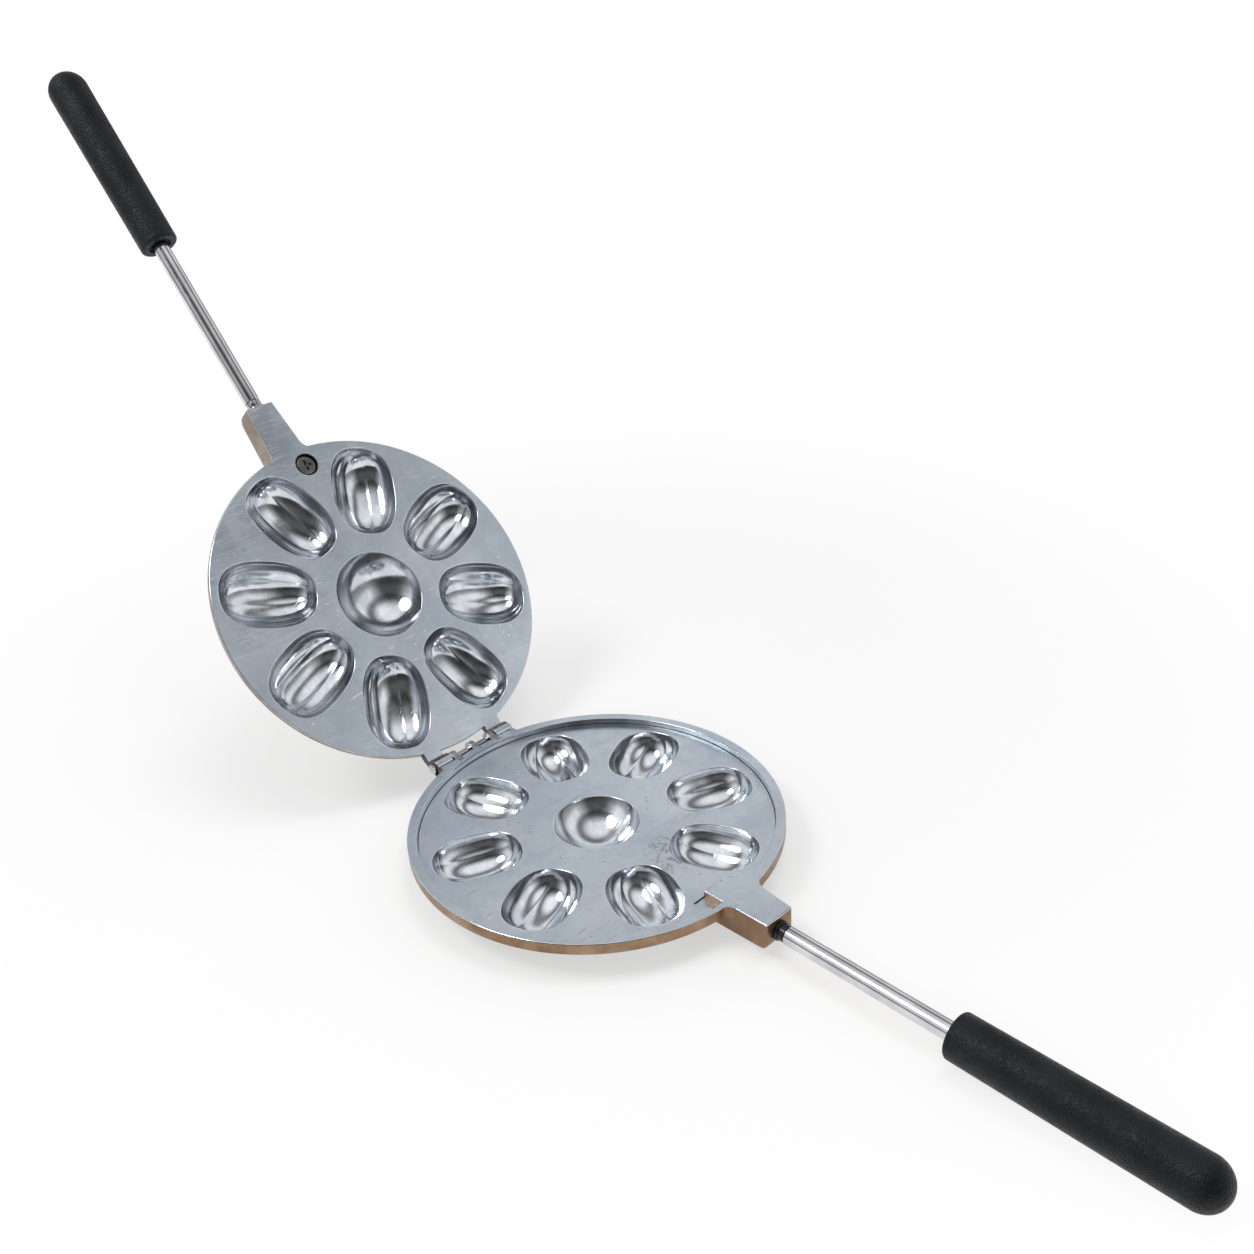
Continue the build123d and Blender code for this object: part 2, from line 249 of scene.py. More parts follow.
    def paint(self, colour: bpy.types.NodeSocket) -> None:
        """Send a colour to the shader."""
        self.link(colour, self.shader.inputs["Base Color"])

    def gloss(self, roughness: bpy.types.NodeSocket) -> None:
        """Send a roughness to the shader."""
        self.link(roughness, self.shader.inputs["Roughness"])


@dataclass(frozen=True)
class Scratches:
    """A family of fine straight scratches in one direction."""

    turn: float
    across: float
    along: float
    amount: float = 0.35

    def add(self, nodes: Nodes) -> None:
        """Bump the scratches into a finish."""
        vector = nodes.stretched((self.across, self.along, self.along), self.turn)
        line = nodes.span(nodes.noise(1.0, 2.0, 0.4, vector=vector), 0.62, 0.72)
        nodes.bump(line, 0.06 * MM, self.amount)


@dataclass(frozen=True)
class MachinedFace:
    """Satin, blue-grey machined aluminium: cloudy tone, fine scratches, pits and dark veins."""

    name: str
    light: Colour = (0.67, 0.735, 0.805)
    dark: Colour = (0.53, 0.60, 0.68)
    stain: Colour = (0.13, 0.13, 0.14)
    nick: Colour = (0.97, 0.98, 1.0)
    roughness: tuple[float, float] = (0.27, 0.40)
    stains: tuple[tuple[Colour, float], ...] = ()
    pits: tuple[tuple[Colour, float], ...] = ()
    scratches: tuple[Scratches, ...] = (
        Scratches(24.0, 2600.0, 45.0),
        Scratches(-52.0, 2200.0, 60.0),
        Scratches(80.0, 1900.0, 35.0),
    )

    def make(self) -> bpy.types.Material:
        """Build the material."""
        nodes = Nodes(self.name)
        nodes.constant("Metallic", 1.0)
        fine = nodes.maths("MULTIPLY", nodes.noise(420.0, 3.0, 0.5), 0.25)
        tone = nodes.span(nodes.maths("ADD", nodes.noise(28.0, 5.0, 0.6), fine), 0.45, 0.85)
        colour = self.flecked(nodes, nodes.blend(tone, self.dark, self.light))
        nodes.paint(self.stained(nodes, colour))
        nodes.gloss(nodes.span(nodes.noise(60.0, 6.0, 0.65), 0.3, 0.7, *self.roughness))
        for family in self.scratches:
            family.add(nodes)
        self.pitted(nodes)
        nodes.bump(nodes.noise(900.0, 3.0, 0.6), 0.02 * MM, 0.5)
        return nodes.material

    def flecked(self, nodes: Nodes, colour: bpy.types.NodeSocket) -> bpy.types.NodeSocket:
        """Scatter small bright nicks and short bright scratches."""
        nick = nodes.span(nodes.cells(250.0), 0.08, 0.18, 1.0, 0.0)
        where = nodes.span(nodes.noise(42.0, 3.0), 0.52, 0.56)
        long = nodes.noise(1.0, 2.0, 0.4, vector=nodes.stretched((1500.0, 90.0, 90.0), 33.0))
        streak = nodes.span(long, 0.70, 0.76)
        marks = nodes.maths("MAXIMUM", nodes.maths("MULTIPLY", nick, where), streak)
        share = nodes.maths("MULTIPLY", marks, 0.9)
        return nodes.blend(share, colour, self.nick)

    def stained(self, nodes: Nodes, colour: bpy.types.NodeSocket) -> bpy.types.NodeSocket:
        """Draw wriggling dark veins round the stained places.

        Args:
            nodes: The material's nodes.
            colour: The clean metal's colour.

        Returns:
            The colour with its stains.
        """
        if not self.stains:
            return colour
        middle = nodes.maths("SUBTRACT", nodes.noise(90.0, 4.0, 0.6, bend=1.8), 0.5)
        line = nodes.span(nodes.maths("ABSOLUTE", middle), 0.008, 0.045, 1.0, 0.0)
        where = self.somewhere(nodes, self.stains)
        share = nodes.maths("MULTIPLY", nodes.maths("MULTIPLY", where, line), 0.7)
        return nodes.blend(share, colour, self.stain)

    def pitted(self, nodes: Nodes) -> None:
        """Sink small round pits, scattered thinly and thickly near the pitted places."""
        hole = nodes.span(nodes.cells(240.0), 0.05, 0.12, 1.0, 0.0)
        where = nodes.span(nodes.noise(35.0, 2.0), 0.60, 0.66)
        if self.pits:
            where = nodes.maths("MAXIMUM", where, self.somewhere(nodes, self.pits))
        nodes.bump(nodes.span(nodes.maths("MULTIPLY", hole, where), 0.0, 1.0, 1.0, 0.0), 0.12 * MM, 0.8)

    def somewhere(self, nodes: Nodes, places: tuple) -> bpy.types.NodeSocket:
        """1 near any of the places, each a point and its reach."""
        near = [nodes.near(point, reach) for point, reach in places]
        where = near[0]
        for other in near[1:]:
            where = nodes.maths("MAXIMUM", where, other)
        return where


@dataclass(frozen=True)
class PolishedBowl:
    """Mirror-polished bowl with faint waves, smears and hair scratches."""

    name: str = "polished_bowl"
    light: Colour = (0.80, 0.83, 0.87)
    dark: Colour = (0.60, 0.64, 0.69)
    wave: float = 0.10

    def make(self) -> bpy.types.Material:
        """Build the material."""
        nodes = Nodes(self.name)
        nodes.constant("Metallic", 1.0)
        nodes.paint(nodes.blend(nodes.span(nodes.noise(120.0, 4.0), 0.35, 0.7), self.dark, self.light))
        nodes.gloss(nodes.span(nodes.noise(160.0, 5.0, 0.6), 0.35, 0.75, 0.11, 0.20))
        nodes.bump(nodes.noise(140.0, 2.0, 0.5), 0.3 * MM, self.wave)
        Scratches(35.0, 2400.0, 90.0, 0.2).add(nodes)
        return nodes.material


@dataclass(frozen=True)
class CastSkin:
    """Edge, side or back of the casting: fine cast skin in two tones. The brown on the edges is a painted
    reflection of a wooden table, and the near black in recesses and the dark grey on the hinge are painted
    shade.
    """

    name: str
    light: Colour
    dark: Colour
    roughness: tuple[float, float] = (0.30, 0.46)

    def make(self) -> bpy.types.Material:
        """Build the material."""
        nodes = Nodes(self.name)
        nodes.constant("Metallic", 0.85)
        nodes.paint(nodes.blend(nodes.span(nodes.noise(55.0, 5.0, 0.6), 0.35, 0.68), self.dark, self.light))
        nodes.gloss(nodes.span(nodes.noise(90.0, 4.0), 0.3, 0.7, *self.roughness))
        nodes.bump(nodes.noise(520.0, 5.0, 0.6), 0.12 * MM, 0.3)
        nodes.bump(nodes.noise(70.0, 3.0), 0.5 * MM, 0.15)
        return nodes.material


@dataclass(frozen=True)
class PolishedSteel:
    """Bright turned steel with fine rings of polish and rubbed spots and, where an underside colour is
    given, a painted brown reflection on the side that faces down.
    """

    name: str
    light: Colour = (0.74, 0.74, 0.76)
    dark: Colour = (0.58, 0.58, 0.61)
    roughness: tuple[float, float] = (0.06, 0.15)
    underside_reflection: Colour | None = None

    def make(self) -> bpy.types.Material:
        """Build the material."""
        nodes = Nodes(self.name)
        nodes.constant("Metallic", 1.0)
        colour = nodes.blend(nodes.span(nodes.noise(70.0, 4.0), 0.35, 0.7), self.dark, self.light)
        # Painted reflection: the side that faces down is blended towards brown, standing in for a wooden
        # table's reflection.
        if self.underside_reflection is not None:
            below = nodes.tree.nodes.new("ShaderNodeAttribute")
            below.attribute_name = UNDERSIDE
            colour = nodes.blend(nodes.span(below.outputs["Fac"], 0.35, 0.75), colour, self.underside_reflection)
        nodes.paint(colour)
        nodes.gloss(nodes.span(nodes.noise(240.0, 4.0, 0.6), 0.35, 0.75, *self.roughness))
        Scratches(0.0, 2600.0, 120.0, 0.05).add(nodes)
        nodes.bump(nodes.noise(600.0, 3.0), 0.01 * MM, 0.1)
        return nodes.material


@dataclass(frozen=True)
class PebbledGrip:
    """Black moulded grip with close round pebbles, a little dusty."""

    name: str = "black_grip"
    light: Colour = (0.010, 0.0115, 0.015)
    dark: Colour = (0.004, 0.0045, 0.006)

    def make(self) -> bpy.types.Material:
        """Build the material."""
        nodes = Nodes(self.name)
        nodes.constant("Specular IOR Level", 0.22)
        nodes.paint(nodes.blend(nodes.span(nodes.noise(60.0, 5.0), 0.3, 0.7), self.dark, self.light))
        nodes.gloss(nodes.span(nodes.noise(300.0, 4.0), 0.3, 0.7, 0.36, 0.52))
        nodes.bump(nodes.span(nodes.cells(1150.0), 0.15, 0.75, 1.0, 0.0), 0.18 * MM, 0.75)
        nodes.bump(nodes.noise(2300.0, 3.0), 0.05 * MM, 0.5)
        return nodes.material


@dataclass(frozen=True)
class BlackSleeve:
    """Black collar with a soft shine and rubbed, greyer spots."""

    name: str = "black_sleeve"
    black: Colour = (0.012, 0.011, 0.011)
    rubbed: Colour = (0.06, 0.058, 0.055)

    def make(self) -> bpy.types.Material:
        """Build the material."""
        nodes = Nodes(self.name)
        nodes.constant("Metallic", 0.4)
        nodes.paint(nodes.blend(nodes.span(nodes.noise(500.0, 4.0), 0.5, 0.75), self.black, self.rubbed))
        nodes.gloss(nodes.span(nodes.noise(350.0, 3.0), 0.3, 0.7, 0.16, 0.34))
        nodes.bump(nodes.noise(900.0, 3.0), 0.04 * MM, 0.4)
        return nodes.material


# ---------------------------------------------------------------- mesh work


def deselect() -> None:
    """Leave edit mode and select nothing."""
    active = bpy.context.view_layer.objects.active
    if active is not None and active.mode != "OBJECT":
        bpy.ops.object.mode_set(mode="OBJECT")
    bpy.ops.object.select_all(action="DESELECT")


def take(piece: bpy.types.Object) -> None:
    """Make a piece the only one selected and active."""
    deselect()
    piece.select_set(True)
    bpy.context.view_layer.objects.active = piece


def started(name: str) -> bpy.types.Object:
    """Name the primitive just added, put its place in its mesh and return it."""
    piece = bpy.context.active_object
    piece.name = name
    piece.data.name = name
    bpy.ops.object.transform_apply(location=True, rotation=True, scale=True)
    return piece


def points_of(piece: bpy.types.Object) -> np.ndarray:
    """Vertex places of a piece, one row each."""
    flat = np.empty(len(piece.data.vertices) * 3, np.float32)
    piece.data.vertices.foreach_get("co", flat)
    return flat.reshape(-1, 3).astype(float)


def move_points(piece: bpy.types.Object, places: np.ndarray) -> None:
    """Put every vertex of a piece at a new place."""
    piece.data.vertices.foreach_set("co", places.astype(np.float32).ravel())
    piece.data.update()


def wear(piece: bpy.types.Object, *materials: bpy.types.Material) -> bpy.types.Object:
    """Give a piece these materials in this order, the first all over."""
    piece.data.materials.clear()
    for material in materials:
        piece.data.materials.append(material)
    return piece


def dress(piece: bpy.types.Object, skins: tuple, flat: float = 0.8, sides: float = 0.8) -> bpy.types.Object:
    """Give a piece its materials by how its faces lie.

    Args:
        piece: The piece.
        skins: Finishes of its flat top and bottom, of its sides, and of the rounded corners between.
        flat: Least share of Z in the normal of a flat face.
        sides: Most share of Z in the normal of a side.

    Returns:
        The piece.
    """
    wear(piece, *skins)
    for face in piece.data.polygons:
        up = face.normal.z if len(skins) > 2 else abs(face.normal.z)
        face.material_index = 0 if up > flat else 1 if up < sides else 2
    return piece


def pick(piece: bpy.types.Object, kind: str, wanted: Callable[[object], bool]) -> None:
    """Select what a test wants and stay in edit mode.

    Args:
        piece: The mesh object.
        kind: EDGE or FACE.
        wanted: Test on a mesh edge or a mesh polygon.
    """
    take(piece)
    bpy.ops.object.mode_set(mode="EDIT")
    bpy.ops.mesh.select_mode(type=kind)
    bpy.ops.mesh.select_all(action="DESELECT")
    bpy.ops.object.mode_set(mode="OBJECT")
    for item in piece.data.edges if kind == "EDGE" else piece.data.polygons:
        item.select = wanted(item)
    bpy.ops.object.mode_set(mode="EDIT")


def pick_edges(piece: bpy.types.Object, wanted: Test) -> None:
    """Select edges by their two ends and stay in edit mode."""
    points = piece.data.vertices
    pick(piece, "EDGE", lambda edge: wanted(*(points[index].co for index in edge.vertices)))


def bevel_edges(piece: bpy.types.Object, width: float, steps: int, wanted: Test) -> None:
    """Round the edges that a test on their two ends picks."""
    pick_edges(piece, wanted)
    bpy.ops.mesh.bevel(offset=width, segments=steps, affect="EDGES")
    bpy.ops.object.mode_set(mode="OBJECT")


def soften(piece: bpy.types.Object, width: float, steps: int = 3) -> None:
    """Round every edge of a piece that is sharper than 30 degrees."""
    take(piece)
    modifier = piece.modifiers.new("soft_edges", "BEVEL")
    modifier.width = width
    modifier.segments = steps
    modifier.limit_method = "ANGLE"
    modifier.angle_limit = math.radians(30)
    bpy.ops.object.modifier_apply(modifier=modifier.name)


def carve(piece: bpy.types.Object, tool: bpy.types.Object) -> None:
    """Cut one closed mesh out of another and remove the tool."""
    take(piece)
    modifier = piece.modifiers.new("carve", "BOOLEAN")
    modifier.operation = "DIFFERENCE"
    modifier.solver = "EXACT"
    modifier.object = tool
    bpy.ops.object.modifier_apply(modifier=modifier.name)
    bpy.data.objects.remove(tool)


def outward(piece: bpy.types.Object) -> None:
    """Turn every face of a piece outwards."""
    take(piece)
    bpy.ops.object.mode_set(mode="EDIT")
    bpy.ops.mesh.select_all(action="SELECT")
    bpy.ops.mesh.normals_make_consistent(inside=False)
    bpy.ops.object.mode_set(mode="OBJECT")


def join(name: str, parts: list[bpy.types.Object]) -> bpy.types.Object:
    """Join parts into the first of them and name it."""
    deselect()
    for part in parts:
        part.select_set(True)
    bpy.context.view_layer.objects.active = parts[0]
    bpy.ops.object.join()
    parts[0].name = name
    parts[0].data.name = name
    return parts[0]


def copied(piece: bpy.types.Object, place: Matrix) -> bpy.types.Object:
    """A copy of a piece with its mesh moved."""
    take(piece)
    bpy.ops.object.duplicate()
    copy = bpy.context.active_object
    copy.data.transform(place)
    return copy


def block(name: str, low: tuple, high: tuple) -> bpy.types.Object:
    """A cube stretched between two corners, as a start for a piece."""
    deselect()
    centre = [(a + b) / 2 for a, b in zip(low, high)]
    size = [b - a for a, b in zip(low, high)]
    bpy.ops.mesh.primitive_cube_add(size=1, location=centre, scale=size)
    return started(name)


def drum(name: str, radius: float, low: Vector, high: Vector, sides: int) -> bpy.types.Object:
    """A cylinder between two points, as a start for a round piece."""
    deselect()
    run = high - low
    bpy.ops.mesh.primitive_cylinder_add(
        vertices=sides,
        radius=radius,
        depth=run.length,
        location=(low + high) / 2,
        rotation=run.to_track_quat("Z", "Y").to_euler(),
    )
    return started(name)


def outline(name: str, points: list[tuple[float, float]], filled: bool) -> bpy.types.Object:
    """A closed outline in the XZ plane, from a circle whose vertices are moved to the points."""
    deselect()
    fill = "NGON" if filled else "NOTHING"
    bpy.ops.mesh.primitive_circle_add(vertices=len(points), radius=1, fill_type=fill)
    piece = started(name)
    move_points(piece, np.array([(x, 0, z) for x, z in points]))
    return piece


def prism(name: str, points: list[tuple[float, float]], low: float, high: float) -> bpy.types.Object:
    """An outline in the XZ plane extruded along Y between two stations."""
    piece = outline(name, points, True)
    piece.data.transform(Matrix.Translation((0, low, 0)))
    pick(piece, "FACE", lambda face: True)
    bpy.ops.mesh.extrude_region_move(TRANSFORM_OT_translate={"value": (0, high - low, 0)})
    bpy.ops.object.mode_set(mode="OBJECT")
    outward(piece)
    return piece


def turned(
    name: str, points: list[tuple[float, float]], sides: int, ring: bool = False
) -> bpy.types.Object:
    """A body of revolution about X, spun from its outline.

    Args:
        name: Name of the new object.
        points: The outline as (x, radius). It starts and ends on the axis unless it is a ring.
        sides: Steps of the spin.
        ring: Whether the outline closes on itself.

    Returns:
        The new object.
    """
    piece = outline(name, points, False)
    if not ring:
        pick_edges(piece, lambda a, b: a.z < 1e-9 and b.z < 1e-9)
        bpy.ops.mesh.delete(type="EDGE")
        bpy.ops.object.mode_set(mode="OBJECT")
    take(piece)
    bpy.ops.object.mode_set(mode="EDIT")
    bpy.ops.mesh.select_all(action="SELECT")
    bpy.ops.mesh.spin(steps=sides, angle=2 * math.pi, center=(0, 0, 0), axis=(1, 0, 0))
    bpy.ops.mesh.select_all(action="SELECT")
    bpy.ops.mesh.remove_doubles(threshold=1e-7)
    bpy.ops.mesh.normals_make_consistent(inside=False)
    bpy.ops.object.mode_set(mode="OBJECT")
    return piece


def arc(centre: tuple[float, float], radius: float, start: float, end: float, steps: int) -> list[tuple]:
    """Points of an arc between two angles in degrees, ends included."""
    angles = [math.radians(start + (end - start) * step / steps) for step in range(steps + 1)]
    return [(centre[0] + radius * math.cos(a), centre[1] + radius * math.sin(a)) for a in angles]


def mark_underside(piece: bpy.types.Object, place: Matrix) -> None:
    """Store how much each vertex of a piece faces down once it is in its place, the mask of a painted
    underside reflection.
    """
    attribute = piece.data.attributes.new(UNDERSIDE, "FLOAT", "POINT")
    turn = place.to_3x3()
    for vertex, value in zip(piece.data.vertices, attribute.data):
        value.value = max(0.0, -(turn @ vertex.normal).z)


def finished(
    piece: bpy.types.Object, place: Matrix, node: str, body: str, angle: float = 40.0
) -> bpy.types.Object:
    """Move a piece's mesh to its place, shade it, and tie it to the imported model.

    Args:
        piece: The piece, its object at the origin.
        place: Where its mesh goes.
        node: The CAD node it stands for.
        body: The body it moves with.
        angle: Edges sharper than this stay sharp, in degrees.

    Returns:
        The piece.
    """
    piece.data.transform(place)
    take(piece)
    bpy.ops.object.shade_smooth_by_angle(angle=math.radians(angle))
    modifier = piece.modifiers.new("face_weights", "WEIGHTED_NORMAL")
    modifier.keep_sharp = True
    bpy.ops.object.modifier_apply(modifier=modifier.name)
    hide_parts(node)
    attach(piece, body)
    log.info("%s: %d faces on %s", piece.name, len(piece.data.polygons), body)
    return piece


# ---------------------------------------------------------------- the bowls


@dataclass
class BowlForm:
    """One size of nut bowl: a blunt egg turned about a long axis above the face.

    X points outward from the plate's middle, the face is at height 0 and the bowl is below it.
    The bluntness is the exponent of the outline, 2 for an ellipse.
    """

    length: float
    width: float
    depth: float
    bulge: float
    ridge_shift: float = 5.5 * MM
    ridge_softness: float = 0.10 * MM
    bluntness: float = 2.45
    lip: float = 0.45 * MM
    lip_steps: int = 4
    around: int = 240
    along: int = 60
    ridge_fade: float = 9.0
    back_sides: tuple[int, int] = (96, 40)
    tool_sides: tuple[int, int] = (96, 48)

    @property
    def ball(self) -> float:
        """Radius of the cross section's circle."""
        return (self.width**2 / 4 + self.depth**2) / (2 * self.depth)

    @property
    def axis_height(self) -> float:
        """Height of the long axis above the face."""
        return self.ball - self.depth

    def half_lengths(self, grow: float = 0.0) -> tuple[float, float]:
        """Half lengths at the face, outward and inward, grown by a wall."""
        return self.length / 2 - self.bulge + grow, self.length / 2 + self.bulge + grow

    def lobed(self, angle: np.ndarray, ridges: Ridges) -> np.ndarray:
        """Radius of the ridged cross section at angles from straight down, in radians."""
        small = self.ball - self.ridge_shift
        total = np.zeros_like(angle)
        for centre in ridges.value:
            off = np.clip(np.abs(angle - math.radians(centre)), 0, math.pi / 2)
            side = self.ridge_shift * np.sin(off)
            radius = self.ridge_shift * np.cos(off) + np.sqrt(small**2 - side**2)
            total += np.exp((radius - self.ball) / self.ridge_softness)
        return self.ball + self.ridge_softness * np.log(total)

    def egg(
        self, name: str, ridges: Ridges | None, sides: tuple[int, int], grow: float
    ) -> bpy.types.Object:
        """The whole egg, its poles at the two ends of its length.

        Args:
            name: Name of the new object.
            ridges: Which ridges it has, or None for a plain round section.
            sides: Segments round the axis and rings along it.
            grow: Wall added all over.

        Returns:
            The egg, sunk in place about the face.
        """
        deselect()
        bpy.ops.mesh.primitive_uv_sphere_add(
            segments=sides[0], ring_count=sides[1], radius=1, rotation=(0, math.pi / 2, 0)
        )
        ball = started(name)
        unit = points_of(ball)
        blunt = self.bluntness
        stretch = (1 - (self.axis_height / self.ball) ** blunt) ** (-1 / blunt)
        outer, inner = (half * stretch for half in self.half_lengths(grow))
        spread = np.hypot(unit[:, 1], unit[:, 2]) ** (2 / blunt)
        angle = np.arctan2(unit[:, 1], -unit[:, 2])
        radius = np.full_like(angle, self.ball)
        if ridges is not None:
            fade = np.clip((1 - np.abs(unit[:, 0])) * self.ridge_fade, 0, 1)
            radius += fade * (self.lobed(angle, ridges) - self.ball)
        radius += grow
        placed = np.empty_like(unit)
        along = np.sign(unit[:, 0]) * np.abs(unit[:, 0]) ** (2 / blunt)
        placed[:, 0] = np.where(along > 0, outer, inner) * along
        placed[:, 1] = radius * spread * np.sin(angle)
        placed[:, 2] = self.axis_height - radius * spread * np.cos(angle)
        move_points(ball, placed)
        return ball

    def hollow(
        self, name: str, ridges: Ridges | None, sides: tuple[int, int], polish: bpy.types.Material
    ) -> bpy.types.Object:
        """The bowl's surface, open at the face, with a small rounded lip."""
        bowl = wear(self.egg(name, ridges, sides, 0.0), polish)
        cut(bowl, -self.lip, keep_below=True, closed=False)
        outer, inner = self.half_lengths()
        round_lip(bowl, self.lip, self.lip_steps, (outer, inner, self.width / 2), self.bluntness)
        return bowl

    def back(
        self, name: str, wall: float, flat: float, top: float, skin: bpy.types.Material
    ) -> bpy.types.Object:
        """The bowl's outside: a smooth egg, open above, with a flat at its lowest."""
        shell = wear(self.egg(name, None, self.back_sides, wall), skin)
        cut(shell, top, keep_below=True, closed=False)
        cut(shell, -flat, keep_below=False, closed=True)
        return shell

    def tool(self, spare: float) -> bpy.types.Object:
        """The bowl's space and a little more, closed at the face, to clear other parts from it."""
        space = self.egg("bowl_tool", None, self.tool_sides, spare)
        cut(space, 0.0, keep_below=True, closed=True)
        return space


def cut(piece: bpy.types.Object, height: float, keep_below: bool, closed: bool) -> None:
    """Cut a mesh at a height and leave it open there, or close it with a flat."""
    take(piece)
    bpy.ops.object.mode_set(mode="EDIT")
    bpy.ops.mesh.select_all(action="SELECT")
    bpy.ops.mesh.bisect(
        plane_co=(0, 0, height),
        plane_no=(0, 0, 1),
        clear_outer=keep_below,
        clear_inner=not keep_below,
        use_fill=closed,
        threshold=1e-8,
    )
    bpy.ops.object.mode_set(mode="OBJECT")


def round_lip(
    bowl: bpy.types.Object, lip: float, steps: int, reach: tuple[float, float, float], blunt: float
) -> None:
    """Carry a bowl's open edge up and out to the face along a small quarter round.

    Args:
        bowl: The bowl, open at a lip's height below the face.
        lip: Radius of the quarter round.
        steps: Number of strips in it.
        reach: Half length outward, half length inward and half width, for the edge's direction.
        blunt: Exponent of the outline, 2 for an ellipse.
    """
    pick_edges(bowl, lambda a, b: abs(a.z + lip) < TINY and abs(b.z + lip) < TINY)
    gone = 0.0
    for step in range(1, steps + 1):
        bpy.ops.mesh.extrude_edges_move()
        bpy.ops.object.mode_set(mode="OBJECT")
        turn = math.pi / 2 * step / steps
        out = lip * (1 - math.cos(turn))
        for vertex in bowl.data.vertices:
            if vertex.select:
                halves = (reach[0] if vertex.co.x > 0 else reach[1], reach[2])
                slopes = (
                    math.copysign(abs(part / half) ** (blunt - 1) / half, part)
                    for part, half in zip(vertex.co.xy, halves)
                )
                away = Vector((*slopes, 0)).normalized()
                vertex.co += away * (out - gone)
                vertex.co.z = lip * (math.sin(turn) - 1)
        gone = out
        bpy.ops.object.mode_set(mode="EDIT")
    bpy.ops.object.mode_set(mode="OBJECT")


# ---------------------------------------------------------------- the halves


@dataclass
class Boss:
    """Tapering block that carries a rod, in the plate's face-up frame.

    A station is (x, y of the middle, width).
    """

    step: tuple[float, float, float]
    outer: tuple[float, float, float]
    root: float
    top: float
    low: float
    end_round: float = 4.0 * MM
    web_radius: float = 4.0 * MM

    def side(self, x: float, way: int) -> float:
        """Y of one side at x."""
        share = (x - self.step[0]) / (self.outer[0] - self.step[0])
        middle = self.step[1] + share * (self.outer[1] - self.step[1])
        width = self.step[2] + share * (self.outer[2] - self.step[2])
        return middle + way * width / 2

    def build(self, inner_top: float, skins: tuple[bpy.types.Material, ...]) -> bpy.types.Object:
        """Build the block.

        Args:
            inner_top: Height of its top between the root and the step.
            skins: The materials of its top, of its sides and of its rounded edges.

        Returns:
            The block.
        """
        far = self.outer[0]
        profile = [(self.root, self.low), (far, self.low), (far, self.top)]
        if inner_top < self.top:
            profile += [(self.step[0], self.top), (self.step[0], inner_top)]
        profile.append((self.root, inner_top))
        piece = prism("boss", profile, -1.0, 1.0)
        places = points_of(piece)
        places[:, 1] = [self.side(x, 1 if y > 0 else -1) for x, y, _ in places]
        move_points(piece, places)
        corner = Vector((far, self.low))
        bevel_edges(
            piece, self.end_round, 8, lambda a, b: all((p.xz - corner).length < SMALL for p in (a, b))
        )
        soften(piece, 0.5 * MM)
        return dress(piece, skins, FLAT, STEEP)

    def web(
        self, radius: float, way: int, heights: tuple[float, float], skins: tuple[bpy.types.Material, ...]
    ) -> bpy.types.Object:
        """The rounded inside corner between the plate's edge and one side of the block.

        Args:
            radius: The plate's radius.
            way: 1 for the +Y side and -1 for the -Y side.
            heights: Lowest and highest of the corner.
            skins: The materials of its top, of its sides and of its rounded edges.

        Returns:
            The corner piece.
        """
        start = Vector((self.step[0], self.side(self.step[0], way)))
        run = (Vector((self.outer[0], self.side(self.outer[0], way))) - start).normalized()
        normal = Vector((-run.y, run.x)) * way
        base = start + normal * self.web_radius
        along = base.dot(run)
        reach = math.sqrt(along**2 - base.length_squared + (radius + self.web_radius) ** 2) - along
        centre = base + run * reach
        on_plate = centre * (radius / centre.length)
        on_side = centre - normal * self.web_radius
        angles = [math.degrees(math.atan2(p.y - centre.y, p.x - centre.x)) for p in (on_plate, on_side)]
        sweep = (angles[1] - angles[0] + 180) % 360 - 180
        points = arc(tuple(centre), self.web_radius, angles[0], angles[0] + sweep, 12)
        points.append(tuple((on_plate + on_side) / 2 - (normal * 2 + run * 0.8) * self.web_radius))
        piece = prism("web", points, *heights)
        piece.data.transform(Matrix(((1, 0, 0, 0), (0, 0, 1, 0), (0, 1, 0, 0), (0, 0, 0, 1))))
        outward(piece)
        soften(piece, 0.35 * MM)
        return dress(piece, skins, FLAT, STEEP)


@dataclass
class Cup:
    """A round screw recess sunk in a face."""

    x: float
    y: float
    radius: float
    depth: float
    lip: float = 0.25 * MM
    sides: int = 72

    def build(self, material: bpy.types.Material) -> bpy.types.Object:
        """The recess's surface, open at the face, with a flat bottom."""
        mouth = Vector((self.x, self.y, 0))
        cup = drum("recess", self.radius, mouth - Vector((0, 0, self.depth)), mouth, self.sides)
        pick(cup, "FACE", lambda face: face.normal.z > 0.9)
        bpy.ops.mesh.delete(type="FACE")
        bpy.ops.object.mode_set(mode="OBJECT")
        places = points_of(cup)
        places[places[:, 2] > -self.lip, 2] = -self.lip
        move_points(cup, places)
        pick_edges(cup, lambda a, b: abs(a.z + self.lip) < TINY and abs(b.z + self.lip) < TINY)
        bpy.ops.mesh.extrude_edges_move()
        bpy.ops.object.mode_set(mode="OBJECT")
        for vertex in cup.data.vertices:
            if vertex.select:
                away = Vector((vertex.co.x - self.x, vertex.co.y - self.y, 0)).normalized()
                vertex.co += away * self.lip
                vertex.co.z = 0.0
        return wear(cup, material)

    def tool(self) -> bpy.types.Object:
        """A closed drum a little wider than the recess, to clear other parts from it."""
        spare = 0.05 * MM
        low = Vector((self.x, self.y, -self.depth - spare))
        return drum("recess_tool", self.radius + spare, low, low + Vector((0, 0, 20 * MM)), self.sides)


